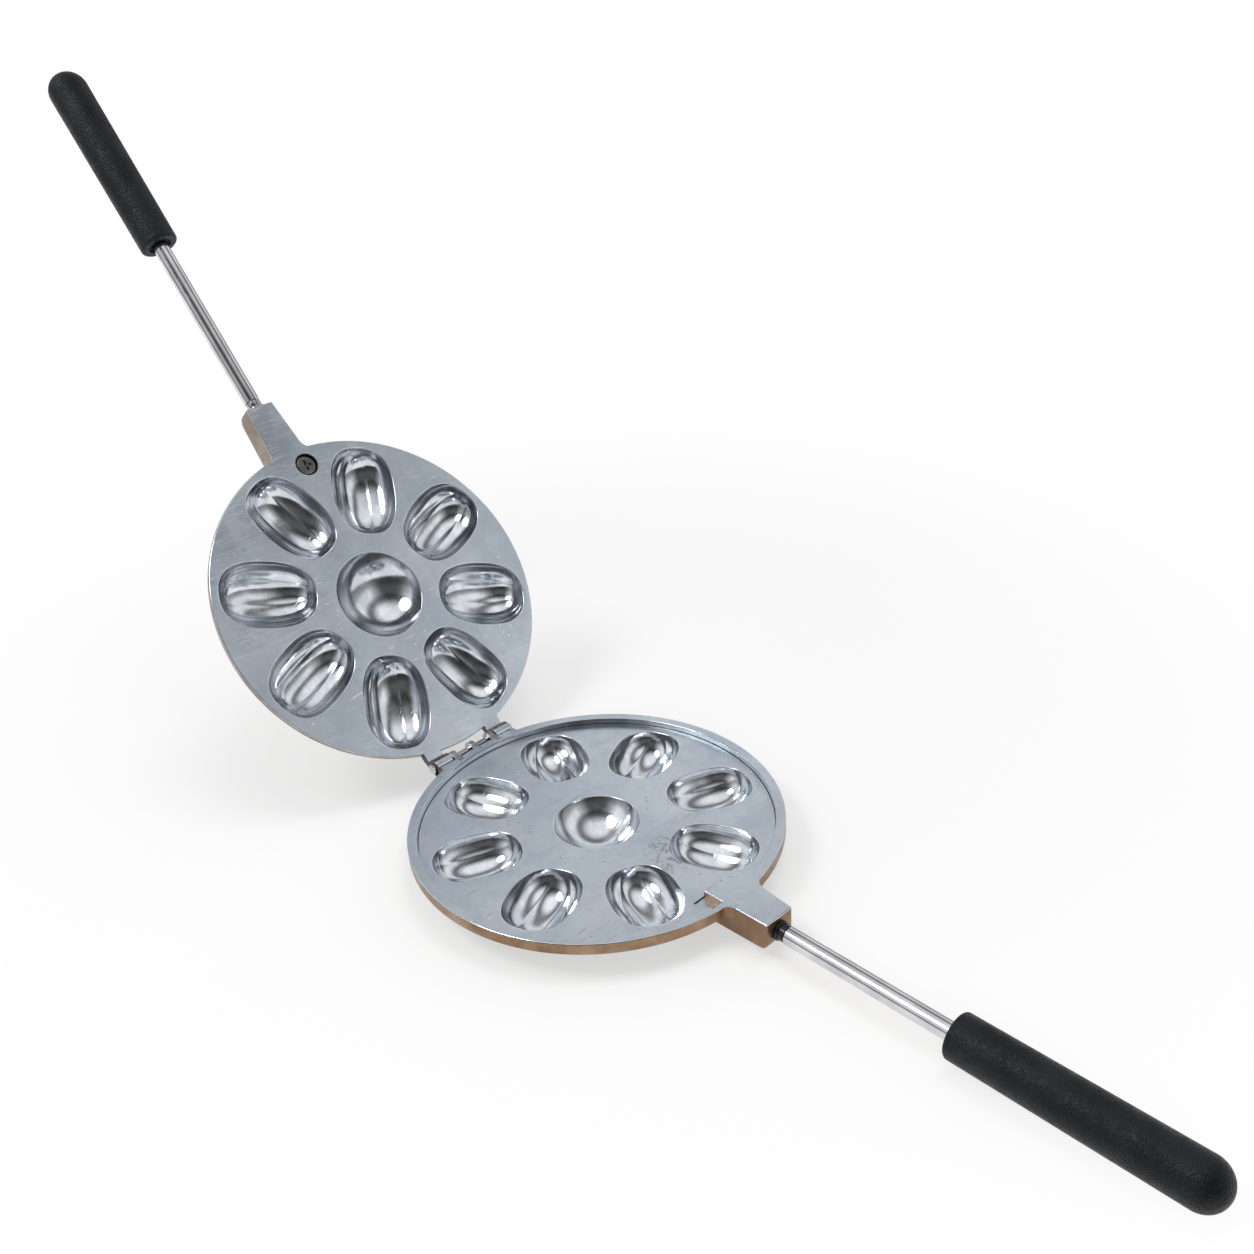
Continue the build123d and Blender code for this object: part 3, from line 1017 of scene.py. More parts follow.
@dataclass
class Plate:
    """A round plate with its bowls, in its face-up frame: the face at height 0."""

    name: str
    radius: float
    under: float
    bowls: BowlForm
    middle_diameter: float
    wall: float
    base: float
    ring: float
    rim_height: float = 0.0
    rim_width: float = 0.0
    cup: Cup | None = None
    centred_slots: tuple[int, ...] = (1, 5)
    slots: int = 8
    sides: int = 360
    largest_sliver: int = 12
    bowl_spare: float = 0.5 * MM
    rim_inner_round: float = 0.4 * MM
    foot_round: float = 0.5 * MM
    outer_round: float = 0.5 * MM
    under_round: float = 0.8 * MM
    round_steps: int = 4
    edge_band: float = 0.25 * MM
    foot_band: float = 0.6 * MM
    middle_sides: tuple[int, int] = (128, 64)

    def build(
        self,
        skins: tuple[bpy.types.Material, ...],
        polish: bpy.types.Material,
        back: bpy.types.Material,
        shade: bpy.types.Material,
        notch: bpy.types.Object | None = None,
    ) -> bpy.types.Object:
        """Build plate, bowls and backs as one closed surface.

        Args:
            skins: Finishes of face and of outer edge.
            polish: Finish of the bowls.
            back: Finish of the underside.
            shade: Painted shade, near black, in the screw recess and at the rim's foot.
            notch: A closed mesh to cut out of the rim.

        Returns:
            The plate.
        """
        body = self.body(notch)
        self.dress_body(body, (*skins, back, polish, shade))
        parts = [body] + self.hollows(polish) + self.backs(back)
        if self.cup is not None:
            # The screw recess wears painted shade.
            parts.append(self.cup.build(shade))
        plate = join(self.name, parts)
        self.fill(plate, 0.0)
        self.fill(plate, -self.under)
        outward(plate)
        for face in plate.data.polygons:
            if abs(face.center.z + self.under) < TINY:
                face.material_index = Skin.BACK
        return plate

    def body(self, notch: bpy.types.Object | None) -> bpy.types.Object:
        """The turned plate, open where its face and its underside go."""
        low, high = Vector((0, 0, -self.under)), Vector((0, 0, self.rim_height))
        plate = drum(self.name, self.radius, low, high, self.sides)
        inner = self.radius - self.rim_width
        if self.rim_height > 0:
            pick(plate, "FACE", lambda face: face.normal.z > 0.9)
            bpy.ops.mesh.inset(thickness=self.rim_width, depth=0)
            bpy.ops.mesh.extrude_region_move(TRANSFORM_OT_translate={"value": (0, 0, -self.rim_height)})
            bpy.ops.object.mode_set(mode="OBJECT")
            self.round_edge(plate, inner, self.rim_height, self.rim_inner_round)
            self.round_edge(plate, inner, 0.0, self.foot_round)
        self.round_edge(plate, self.radius, self.rim_height, self.outer_round)
        self.round_edge(plate, self.radius, -self.under, self.under_round)
        if notch is not None:
            carve(plate, notch)
        broad = self.radius**2
        levels = (0.0, -self.under)
        pick(
            plate,
            "FACE",
            lambda face: face.area > broad and min(abs(face.center.z - level) for level in levels) < SMALL,
        )
        bpy.ops.mesh.delete(type="ONLY_FACE")
        bpy.ops.object.mode_set(mode="OBJECT")
        return plate

    def round_edge(self, plate: bpy.types.Object, radius: float, height: float, width: float) -> None:
        """Round one circular edge of the body."""
        spare = radius * 1e-4

        def on_edge(a: Vector, b: Vector) -> bool:
            """Whether both ends of an edge lie on the circle."""
            return all(abs(p.xy.length - radius) < spare and abs(p.z - height) < TINY for p in (a, b))

        bevel_edges(plate, width, self.round_steps, on_edge)

    def dress_body(self, body: bpy.types.Object, skins: tuple[bpy.types.Material, ...]) -> None:
        """Finish rim, outer edge and underside, polish the rim's corners and darken its foot with painted
        shade.
        """
        wear(body, *skins)
        for face in body.data.polygons:
            at_edge = Vector(face.center[:2]).length > self.radius - self.edge_band
            if face.normal.z < -0.5:
                face.material_index = Skin.BACK
            # Outer edge: its brown skin is a painted reflection of a wooden table.
            elif at_edge and face.normal.z < 0.3:
                face.material_index = Skin.EDGE
            elif face.normal.z > FLAT:
                face.material_index = Skin.FACE
            elif at_edge or face.center.z > self.foot_band:
                face.material_index = Skin.POLISH
            else:
                # Painted shade: near black at the rim's foot and on the notch's low walls.
                face.material_index = Skin.SHADE

    def hollows(self, polish: bpy.types.Material) -> list[bpy.types.Object]:
        """The nut bowls in their slots, and the middle bowl."""
        sides = (self.bowls.around, self.bowls.along)
        forms = {ridges: self.bowls.hollow("bowl", ridges, sides, polish) for ridges in Ridges}
        placed = [
            copied(forms[Ridges.CENTRED if slot in self.centred_slots else Ridges.PAIRED], self.slot(slot))
            for slot in range(self.slots)
        ]
        for form in forms.values():
            bpy.data.objects.remove(form)
        return placed + [self.middle().hollow("middle_bowl", None, self.middle_sides, polish)]

    def backs(self, back: bpy.types.Material) -> list[bpy.types.Object]:
        """The outsides of the bowls, below the plate."""
        flat = self.bowls.depth + self.base
        shell = self.bowls.back("shell", self.wall, flat, -self.under, back)
        placed = [copied(shell, self.slot(slot)) for slot in range(self.slots)]
        bpy.data.objects.remove(shell)
        return placed + [self.middle().back("middle_shell", self.wall, flat, -self.under, back)]

    def clear(self, piece: bpy.types.Object) -> None:
        """Clear a part that lies in the plate from the bowls on both sides of it."""
        for slot in (0, self.slots - 1):
            tool = self.bowls.tool(self.bowl_spare)
            tool.data.transform(self.slot(slot))
            carve(piece, tool)

    def middle(self) -> BowlForm:
        """The smooth ball cap in the middle."""
        return BowlForm(self.middle_diameter, self.middle_diameter, self.bowls.depth, 0.0, bluntness=2.0)

    def slot(self, index: int) -> Matrix:
        """Where a slot's bowl goes."""
        turn = Matrix.Rotation(2 * math.pi * (index + 0.5) / self.slots, 4, "Z")
        return turn @ Matrix.Translation((self.ring + self.bowls.bulge, 0, 0))

    def fill(self, plate: bpy.types.Object, height: float) -> None:
        """Close the plate's surface at a height, between its edge and the bowls' edges."""
        take(plate)
        bpy.ops.object.mode_set(mode="EDIT")
        bpy.ops.mesh.select_mode(type="EDGE")
        bpy.ops.mesh.select_all(action="DESELECT")
        bpy.ops.mesh.select_non_manifold(
            use_wire=False, use_multi_face=False, use_non_contiguous=False, use_verts=False
        )
        bpy.ops.object.mode_set(mode="OBJECT")
        points = plate.data.vertices
        loose = {
            edge.index: tuple(edge.vertices)
            for edge in plate.data.edges
            if edge.select and all(abs(points[end].co.z - height) < SMALL for end in edge.vertices)
        }
        pick(plate, "EDGE", lambda edge: edge.index in loose)
        bpy.ops.mesh.fill(use_beauty=True)
        bpy.ops.object.mode_set(mode="OBJECT")
        self.reopen(plate, height, loops_of(list(loose.values())))

    def reopen(self, plate: bpy.types.Object, height: float, loop: dict[int, int]) -> None:
        """Take away what the fill put inside the bowls' own edges.

        Args:
            plate: The filled plate.
            height: Height of the surface.
            loop: Each edge vertex's loop.
        """
        points = plate.data.vertices
        rim = loop[max(loop, key=lambda index: points[index].co.xy.length)]

        def inside(face: bpy.types.MeshPolygon) -> bool:
            """Whether all of a face's corners lie on one bowl's edge."""
            found = {loop.get(index, rim) for index in face.vertices}
            return len(found) == 1 and rim not in found and abs(face.center.z - height) < TINY

        pick(plate, "FACE", inside)
        bpy.ops.mesh.delete(type="ONLY_FACE")
        bpy.ops.object.mode_set(mode="OBJECT")
        spare = loose_edges(plate, height)
        pick(plate, "EDGE", lambda edge: edge.index in spare)
        bpy.ops.mesh.delete(type="EDGE")
        bpy.ops.mesh.select_all(action="SELECT")
        bpy.ops.mesh.fill_holes(sides=self.largest_sliver)
        bpy.ops.object.mode_set(mode="OBJECT")


def loops_of(edges: list[tuple[int, int]]) -> dict[int, int]:
    """Number the closed loops that edges make.

    Args:
        edges: Each edge's two vertices.

    Returns:
        The loop that each vertex is on.
    """
    near: dict[int, list[int]] = {}
    for a, b in edges:
        near.setdefault(a, []).append(b)
        near.setdefault(b, []).append(a)
    loop: dict[int, int] = {}
    for start in near:
        if start in loop:
            continue
        waiting = [start]
        while waiting:
            index = waiting.pop()
            if index not in loop:
                loop[index] = start
                waiting += near[index]
    return loop


def loose_edges(piece: bpy.types.Object, height: float) -> set[int]:
    """Edges at a height that no face uses."""
    used = {key for face in piece.data.polygons for key in face.edge_keys}
    points = piece.data.vertices
    return {
        edge.index
        for edge in piece.data.edges
        if edge.key not in used and all(abs(points[end].co.z - height) < SMALL for end in edge.vertices)
    }


def swing(pin: Vector, opening: float) -> Matrix:
    """The turn about the hinge pin from closed to open."""
    about = Matrix.Translation(pin)
    return about @ Matrix.Rotation(-math.radians(opening), 4, "Y") @ about.inverted()


@dataclass
class Hinge:
    """The pin and the eyes round it, in the closed mold's frame."""

    pin: Vector
    rim: float
    face: float
    thickness: float
    lower_radius: float
    upper_radius: float
    opening: float
    knuckle: float = 3.4 * MM
    lug: float = 3.9 * MM
    heel_reach: float = 4.5 * MM
    heel_length: float = 5.2 * MM
    heel_tip: float = 3.0 * MM
    foot: float = 6.5 * MM
    gap: float = 0.1 * MM
    rim_width: float = 4.5 * MM
    lug_inner: float = 13.5 * MM
    lug_width: float = 9.4 * MM
    lift: float = 0.008 * MM
    block_round: float = 0.7 * MM
    knuckle_round: float = 0.35 * MM
    lug_round: float = 0.5 * MM
    heel_round: float = 0.4 * MM
    floor_drop: float = 3.2 * MM
    knuckle_root: float = 3.5 * MM
    lug_root: float = 7.0 * MM
    pin_radius: float = 1.5 * MM
    pin_head: float = 2.4 * MM
    head_thickness: float = 1.4 * MM
    head_gap: float = 0.3 * MM
    knuckle_spans: tuple[tuple[float, float], ...] = ((-13.2, -9.6), (-1.6, 1.6), (9.6, 13.2))

    @property
    def stop(self) -> float:
        """X of the face that the heels meet when the mold is open."""
        return self.pin.x + self.heel_reach + self.gap

    @property
    def half_width(self) -> float:
        """Half the hinge's width."""
        return self.lug_inner + self.lug_width

    def lower_parts(self, skins: tuple[bpy.types.Material, ...]) -> list[bpy.types.Object]:
        """The hinge block with its foot, and the three narrow eyes."""
        low = (self.stop, -self.half_width, 0)
        base = block("hinge_block", low, (self.stop + self.foot, self.half_width, self.rim + self.lift))
        soften(base, self.block_round)
        floor = Vector((0, 0, self.rim - self.floor_drop))
        carve(base, drum("floor_tool", self.lower_radius - self.rim_width, floor, floor * 2, 360))
        parts = [dress(base, skins[:2])]
        rise = math.degrees(math.asin((self.rim - self.pin.z) / self.knuckle))
        root = self.stop + self.knuckle_root
        eye = arc((self.pin.x, self.pin.z), self.knuckle, 270, rise, 28)
        section = [(root, self.pin.z - self.knuckle)] + eye + [(root, self.rim + 2 * self.lift)]
        for start, end in self.knuckle_spans:
            ring = prism("knuckle", section, start * MM, end * MM)
            soften(ring, self.knuckle_round)
            parts.append(wear(ring, skins[2]))
        return parts

    def upper_parts(self, skins: tuple[bpy.types.Material, ...]) -> list[bpy.types.Object]:
        """The two lugs with their heels."""
        x, z = self.pin.x, self.pin.z
        face, top = self.face - self.lift, self.face + self.thickness + self.lift
        root = self.lug_root - self.upper_radius
        section = arc((x, z), self.lug, 90, 360, 36)
        section += [(x + self.lug, face), (root, face), (root, top), (-self.upper_radius, top)]
        parts = []
        for start in (-self.half_width, self.lug_inner):
            lug = prism("lug", section, start, start + self.lug_width)
            soften(lug, self.lug_round)
            heel = prism("heel", self.heel(), start, start + self.lug_width)
            soften(heel, self.heel_round)
            parts += [lug, heel]
        return [dress(part, skins) for part in parts]

    def heel(self) -> list[tuple[float, float]]:
        """The heel's outline in the closed mold, from its shape in the open one."""
        x, z = self.pin.x, self.pin.z
        back = self.lug * math.sqrt(0.5)
        tip_x, tip_z = x + self.heel_reach, z - self.heel_length
        opened = [(x - back, z - back), (tip_x - self.heel_tip, tip_z), (tip_x, tip_z), (tip_x, z), (x, z)]
        place = swing(self.pin, self.opening).inverted()
        return [tuple((place @ Vector((px, 0, pz))).xz) for px, pz in opened]

    def pin_piece(self, steel: bpy.types.Material) -> bpy.types.Object:
        """The pin, with a domed head at each end."""
        radius, head, thick = self.pin_radius, self.pin_head, self.head_thickness
        start = self.half_width + self.head_gap
        outer = [(start, radius), (start, head), (start + 0.8 * MM, head)]
        outer += [(start + 1.2 * MM, head * 0.75), (start + thick, head * 0.3), (start + thick, 0)]
        profile = [(-x, r) for x, r in reversed(outer)] + outer
        pin = wear(turned("pin", profile, 48), steel)
        pin.data.transform(Matrix.Translation(self.pin) @ Matrix.Rotation(math.pi / 2, 4, "Z"))
        return pin


@dataclass
class Handle:
    """One rod with its collar, locking screw and grip, in the closed mold's frame."""

    prefix: str
    outer: float
    side: float
    height: float
    slope: float
    visible: float
    screw_place: Matrix
    bright_collar: bool = False
    tip: float = 68.5 * MM
    seat: float = 0.2 * MM
    collar: float = 4.6 * MM
    rod: float = 4.0 * MM
    spigot: float = 3.0 * MM
    grip_length: float = 104.0 * MM
    grip_start: float = 9.6 * MM
    grip_end: float = 10.0 * MM
    recess: float = 5.75 * MM
    recess_depth: float = 1.6 * MM
    insertion: float = 45.0 * MM
    screw_head: float = 4.8 * MM
    head_height: float = 2.1 * MM
    head_round: float = 0.45 * MM
    cross_arm: float = 2.8 * MM
    cross_half_width: float = 0.55 * MM
    cross_depth: float = 1.3 * MM
    shank: float = 2.5 * MM
    shank_end: float = 11.0 * MM

    @property
    def place(self) -> Matrix:
        """X along the rod from where it leaves the boss."""
        turn = Matrix.Rotation(-math.radians(self.slope), 4, "Y")
        return Matrix.Translation((self.outer, self.side, self.height)) @ turn

    @property
    def shoulder(self) -> float:
        """Where the rod takes its full size."""
        return self.seat + self.collar + 0.05 * MM

    def rod_piece(self, steel: bpy.types.Material) -> bpy.types.Object:
        """The rod: thin in boss and collar, then full size, with chamfered ends."""
        chamfer = 0.4 * MM
        start, end = self.tip - self.outer, self.shoulder + self.visible + self.insertion
        profile = [(start, 0), (start, self.spigot - chamfer), (start + chamfer, self.spigot)]
        profile += [(self.shoulder, self.spigot), (self.shoulder, self.rod - chamfer)]
        profile += [(self.shoulder + chamfer, self.rod), (end - chamfer, self.rod)]
        profile += [(end, self.rod - chamfer), (end, 0)]
        return wear(turned(f"{self.prefix}_handle_rod", profile, 96), steel)

    def collar_piece(self, black: bpy.types.Material) -> bpy.types.Object:
        """The dark collar: a sleeve with a bead at the boss."""
        start, end = self.seat, self.seat + self.collar
        bore, sleeve, bead, chamfer = 3.05 * MM, 3.7 * MM, 4.4 * MM, 0.3 * MM
        round_over = 0.8 * MM
        profile = [(start, bore), (start, bead - round_over)]
        profile += arc((start + round_over, bead - round_over), round_over, 180, 0, 12)[1:]
        profile += [(start + 1.7 * MM, sleeve), (end - chamfer, sleeve)]
        profile += [(end, sleeve - chamfer), (end, bore)]
        return wear(turned(f"{self.prefix}_collar", profile, 72, ring=True), black)

    def grip_piece(self, rubber: bpy.types.Material) -> bpy.types.Object:
        """The grip: a recess round the rod, a slight taper and a round tip."""
        start = self.shoulder + self.visible
        edge, bore = 1.4 * MM, 4.05 * MM
        inner, outer = 0.5 * MM, 0.3 * MM
        floor, blind = start + self.recess_depth, start + self.insertion
        profile = [(blind, 0), (blind, bore), (floor, bore)]
        profile += arc((floor - inner, self.recess - inner), inner, 0, 90, 4)
        profile += arc((start + outer, self.recess + outer), outer, 270, 180, 4)
        profile += arc((start + edge, self.grip_start - edge), edge, 180, 90, 10)
        ball = start + self.grip_length - self.grip_end
        steps = 24
        for step in range(1, steps):
            share = step / steps
            radius = self.grip_start + share * (self.grip_end - self.grip_start)
            profile.append((start + edge + share * (ball - start - edge), radius))
        profile += arc((ball, 0), self.grip_end, 90, 0, 28)[:-1] + [(ball + self.grip_end, 0)]
        return wear(turned(f"{self.prefix}_handle_grip", profile, 128), rubber)

    def screw_piece(self, steel: bpy.types.Material) -> bpy.types.Object:
        """The cross-recessed screw, its head's face at height 0 and its shank above."""
        head = drum("head", self.screw_head, Vector((0, 0, 0)), Vector((0, 0, self.head_height)), 72)
        bevel_edges(head, self.head_round, 4, lambda a, b: abs(a.z) < TINY and abs(b.z) < TINY)
        arm, half, deep = self.cross_arm, self.cross_half_width, self.cross_depth
        for long, wide in ((arm, half), (half, arm)):
            carve(head, block("cross", (-long, -wide, -deep), (long, wide, deep)))
        start = self.head_height - 0.2 * MM
        shank = drum("shank", self.shank, Vector((0, 0, start)), Vector((0, 0, self.shank_end)), 48)
        soften(shank, 0.3 * MM)
        return wear(join(f"{self.prefix}_screw", [head, shank]), steel)

    def build(self, opened: Matrix, body: str, look: "Finishes") -> None:
        """Build the four pieces and tie them to their body.

        Args:
            opened: From the closed mold's frame to the open pose.
            body: The body that they move with.
            look: The finishes.
        """
        along = opened @ self.place
        across = opened @ self.screw_place
        node = f"{self.prefix}_rod"
        rod = self.rod_piece(look.rod)
        mark_underside(rod, along)
        finished(rod, along, node, body, 30)
        finish = look.pin if self.bright_collar else look.sleeve
        finished(self.collar_piece(finish), along, f"{node}_collar", body, 50)
        finished(self.grip_piece(look.grip), along, f"{self.prefix}_grip", body, 60)
        finished(self.screw_piece(look.screw), across, f"{node}_screw", body)


# ---------------------------------------------------------------- the studio


@dataclass(frozen=True)
class Lamp:
    """A soft oval light. It shows in the bowls only if it is mirrored."""

    name: str
    place: tuple
    size: tuple
    power: float
    mirrored: bool = False
    aim: tuple = (0, 0, 0.05)

    def build(self) -> None:
        """Hang the light, aimed at the mold."""
        data = bpy.data.lights.new(self.name, "AREA")
        data.shape = "ELLIPSE"
        data.size, data.size_y = self.size
        data.energy = self.power
        lamp = bpy.data.objects.new(self.name, data)
        lamp.location = self.place
        run = Vector(self.aim) - Vector(self.place)
        lamp.rotation_euler = run.to_track_quat("-Z", "Y").to_euler()
        lamp.visible_glossy = self.mirrored
        bpy.context.scene.collection.objects.link(lamp)


@dataclass
class Studio:
    """The floor, the light and the camera."""

    position: tuple = (387.54 * MM, -334.43 * MM, 398.24 * MM)
    forward: tuple = (-0.64001, 0.59492, -0.48626)
    up: tuple = (-0.31307, 0.37603, 0.87212)
    lens: float = 40.756
    room_levels: tuple = (
        (0.0, 0.20),
        (0.25, 0.44),
        (0.42, 0.92),
        (0.62, 0.92),
        (0.74, 0.20),
        (0.82, 0.26),
        (0.93, 0.95),
        (1.0, 1.05),
    )
    dark_side: Colour = (0.68, -0.63, 0.38)
    dark_span: tuple = (0.55, 0.92)
    dark_level: float = 0.12
    floor_radius: float = 12.0
    floor_greys: tuple[Colour, Colour] = ((0.86, 0.86, 0.86), (0.88, 0.88, 0.88))
    middle: tuple = (-0.10, 0.08, 0.0)
    white_span: tuple = (0.14, 0.46)
    white_shares: tuple = (0.5, 1.0)
    lamps: tuple[Lamp, ...] = (
        Lamp("key", (-0.5, -0.9, 1.5), (0.9, 0.6), 11.0, mirrored=True),
        Lamp("side", (1.3, -0.9, 0.8), (0.7, 0.5), 5.0),
        Lamp("top", (0.15, 0.35, 1.7), (0.5, 0.9), 6.0),
    )

    def floor(self) -> None:
        """A wide pale floor that keeps the object's shadow."""
        deselect()
        bpy.ops.mesh.primitive_circle_add(vertices=128, radius=self.floor_radius, fill_type="NGON")
        floor = started("floor")
        nodes = Nodes("pale_floor")
        nodes.paint(nodes.blend(nodes.span(nodes.noise(3.0), 0.2, 0.8), *self.floor_greys))
        nodes.constant("Roughness", 0.9)
        nodes.constant("Specular IOR Level", 0.0)
        self.whiten(nodes)
        wear(floor, nodes.material)

    def whiten(self, nodes: Nodes) -> None:
        """Let the floor run into the white background away from the mold.

        Args:
            nodes: The floor material's nodes.
        """
        tree = nodes.tree
        glow, mix = tree.nodes.new("ShaderNodeEmission"), tree.nodes.new("ShaderNodeMixShader")
        path, output = tree.nodes.new("ShaderNodeLightPath"), tree.nodes["Material Output"]
        seen = nodes.maths("MAXIMUM", path.outputs["Is Camera Ray"], path.outputs["Is Glossy Ray"])
        seen = nodes.maths("MAXIMUM", seen, path.outputs["Is Transmission Ray"])
        away = nodes.tree.nodes.new("ShaderNodeVectorMath")
        away.operation = "DISTANCE"
        nodes.link(nodes.place, away.inputs[0])
        away.inputs[1].default_value = self.middle
        share = nodes.span(away.outputs["Value"], *self.white_span, *self.white_shares)
        nodes.link(nodes.maths("MULTIPLY", share, seen), mix.inputs["Fac"])
        nodes.link(nodes.shader.outputs["BSDF"], mix.inputs[1])
        nodes.link(glow.outputs["Emission"], mix.inputs[2])
        nodes.link(mix.outputs["Shader"], output.inputs["Surface"])

    def world(self) -> None:
        """A studio room with light and dark bands and a dark side; the camera sees plain white."""
        world = bpy.data.worlds.new("studio")
        bpy.context.scene.world = world
        world.use_nodes = True
        nodes, links = world.node_tree.nodes, world.node_tree.links
        nodes.clear()
        output = nodes.new("ShaderNodeOutputWorld")
        room, white = nodes.new("ShaderNodeBackground"), nodes.new("ShaderNodeBackground")
        mix, path = nodes.new("ShaderNodeMixShader"), nodes.new("ShaderNodeLightPath")
        place, split = nodes.new("ShaderNodeTexCoord"), nodes.new("ShaderNodeSeparateXYZ")
        ramp = nodes.new("ShaderNodeValToRGB")
        links.new(place.outputs["Generated"], split.inputs["Vector"])
        links.new(split.outputs["Z"], ramp.inputs["Fac"])
        stops = ramp.color_ramp.elements
        for index, (position, level) in enumerate(self.room_levels):
            stop = stops[index] if index < 2 else stops.new(position)
            stop.position = position
            stop.color = (level, level, level, 1)
        white.inputs["Color"].default_value = (1, 1, 1, 1)
        side, shade = nodes.new("ShaderNodeVectorMath"), nodes.new("ShaderNodeMapRange")
        side.operation = "DOT_PRODUCT"
        side.inputs[1].default_value = self.dark_side
        shade.inputs["From Min"].default_value, shade.inputs["From Max"].default_value = self.dark_span
        shade.inputs["To Min"].default_value, shade.inputs["To Max"].default_value = 1.0, self.dark_level
        links.new(place.outputs["Generated"], side.inputs[0])
        links.new(side.outputs["Value"], shade.inputs["Value"])
        links.new(shade.outputs["Result"], room.inputs["Strength"])
        links.new(ramp.outputs["Color"], room.inputs["Color"])
        links.new(path.outputs["Is Camera Ray"], mix.inputs["Fac"])
        links.new(room.outputs["Background"], mix.inputs[1])
        links.new(white.outputs["Background"], mix.inputs[2])
        links.new(mix.outputs["Shader"], output.inputs["Surface"])

    def camera(self) -> None:
        """The photograph's camera."""
        data = bpy.data.cameras.new("camera")
        data.lens = self.lens
        data.sensor_width = 36.0
        data.clip_start = 0.01
        camera = bpy.data.objects.new("camera", data)
        back = -Vector(self.forward).normalized()
        right = Vector(self.up).cross(back).normalized()
        turn = Matrix((right, back.cross(right), back)).transposed().to_4x4()
        camera.matrix_world = Matrix.Translation(self.position) @ turn
        bpy.context.scene.collection.objects.link(camera)
        bpy.context.scene.camera = camera

    def build(self) -> None:
        """Set up floor, world, lights, camera and colour."""
        self.floor()
        self.world()
        for lamp in self.lamps:
            lamp.build()
        self.camera()
        bpy.context.scene.view_settings.view_transform = "Standard"


# ---------------------------------------------------------------- the object


def made(finish: object) -> bpy.types.Material:
    """A field that builds a finish's material for each new set."""
    return field(default_factory=finish.make)


@dataclass
class Finishes:
    """The object's materials."""

    lower_face: bpy.types.Material = made(
        MachinedFace("machined_lower", nick=(0.40, 0.41, 0.43), stains=LOWER_STAINS)
    )
    upper_face: bpy.types.Material = made(MachinedFace("machined_upper", pits=UPPER_PITS))
    bowl: bpy.types.Material = made(PolishedBowl())
    # Brown on the lower plate's edge and the boss's sides: a painted reflection of a wooden table.
    lower_edge: bpy.types.Material = made(
        CastSkin("browned_edge", (0.42, 0.29, 0.19), (0.25, 0.15, 0.085))
    )
    # Greyish brown on the upper plate's edge and the boss's sides: a painted reflection of a wooden table.
    upper_edge: bpy.types.Material = made(
        CastSkin("browned_upper_edge", (0.42, 0.37, 0.32), (0.28, 0.22, 0.18))
    )
    back: bpy.types.Material = made(
        CastSkin("cast_back", (0.45, 0.42, 0.39), (0.30, 0.27, 0.24), (0.38, 0.55))
    )
    # Painted shade: near black at the rim's foot, on the notch's low walls and in the screw recess.
    shade: bpy.types.Material = made(
        CastSkin("dark_recess", (0.10, 0.095, 0.09), (0.03, 0.028, 0.026))
    )
    # Dark grey on the sides of the hinge block and lugs: painted shade for the dark gap round the pin.
    hinge: bpy.types.Material = made(CastSkin("hinge_skin", (0.26, 0.23, 0.20), (0.08, 0.065, 0.055)))
    # The rod's underside is painted brown, a painted reflection of a wooden table.
    rod: bpy.types.Material = made(PolishedSteel("polished_rod", underside_reflection=(0.42, 0.28, 0.17)))
    screw: bpy.types.Material = made(
        PolishedSteel("bright_screw", (0.42, 0.42, 0.42), (0.12, 0.12, 0.12), (0.12, 0.25))
    )
    pin: bpy.types.Material = made(
        PolishedSteel("bright_pin", (0.6, 0.6, 0.62), (0.42, 0.42, 0.44), (0.12, 0.25))
    )
    sleeve: bpy.types.Material = made(BlackSleeve())
    grip: bpy.types.Material = made(PebbledGrip())


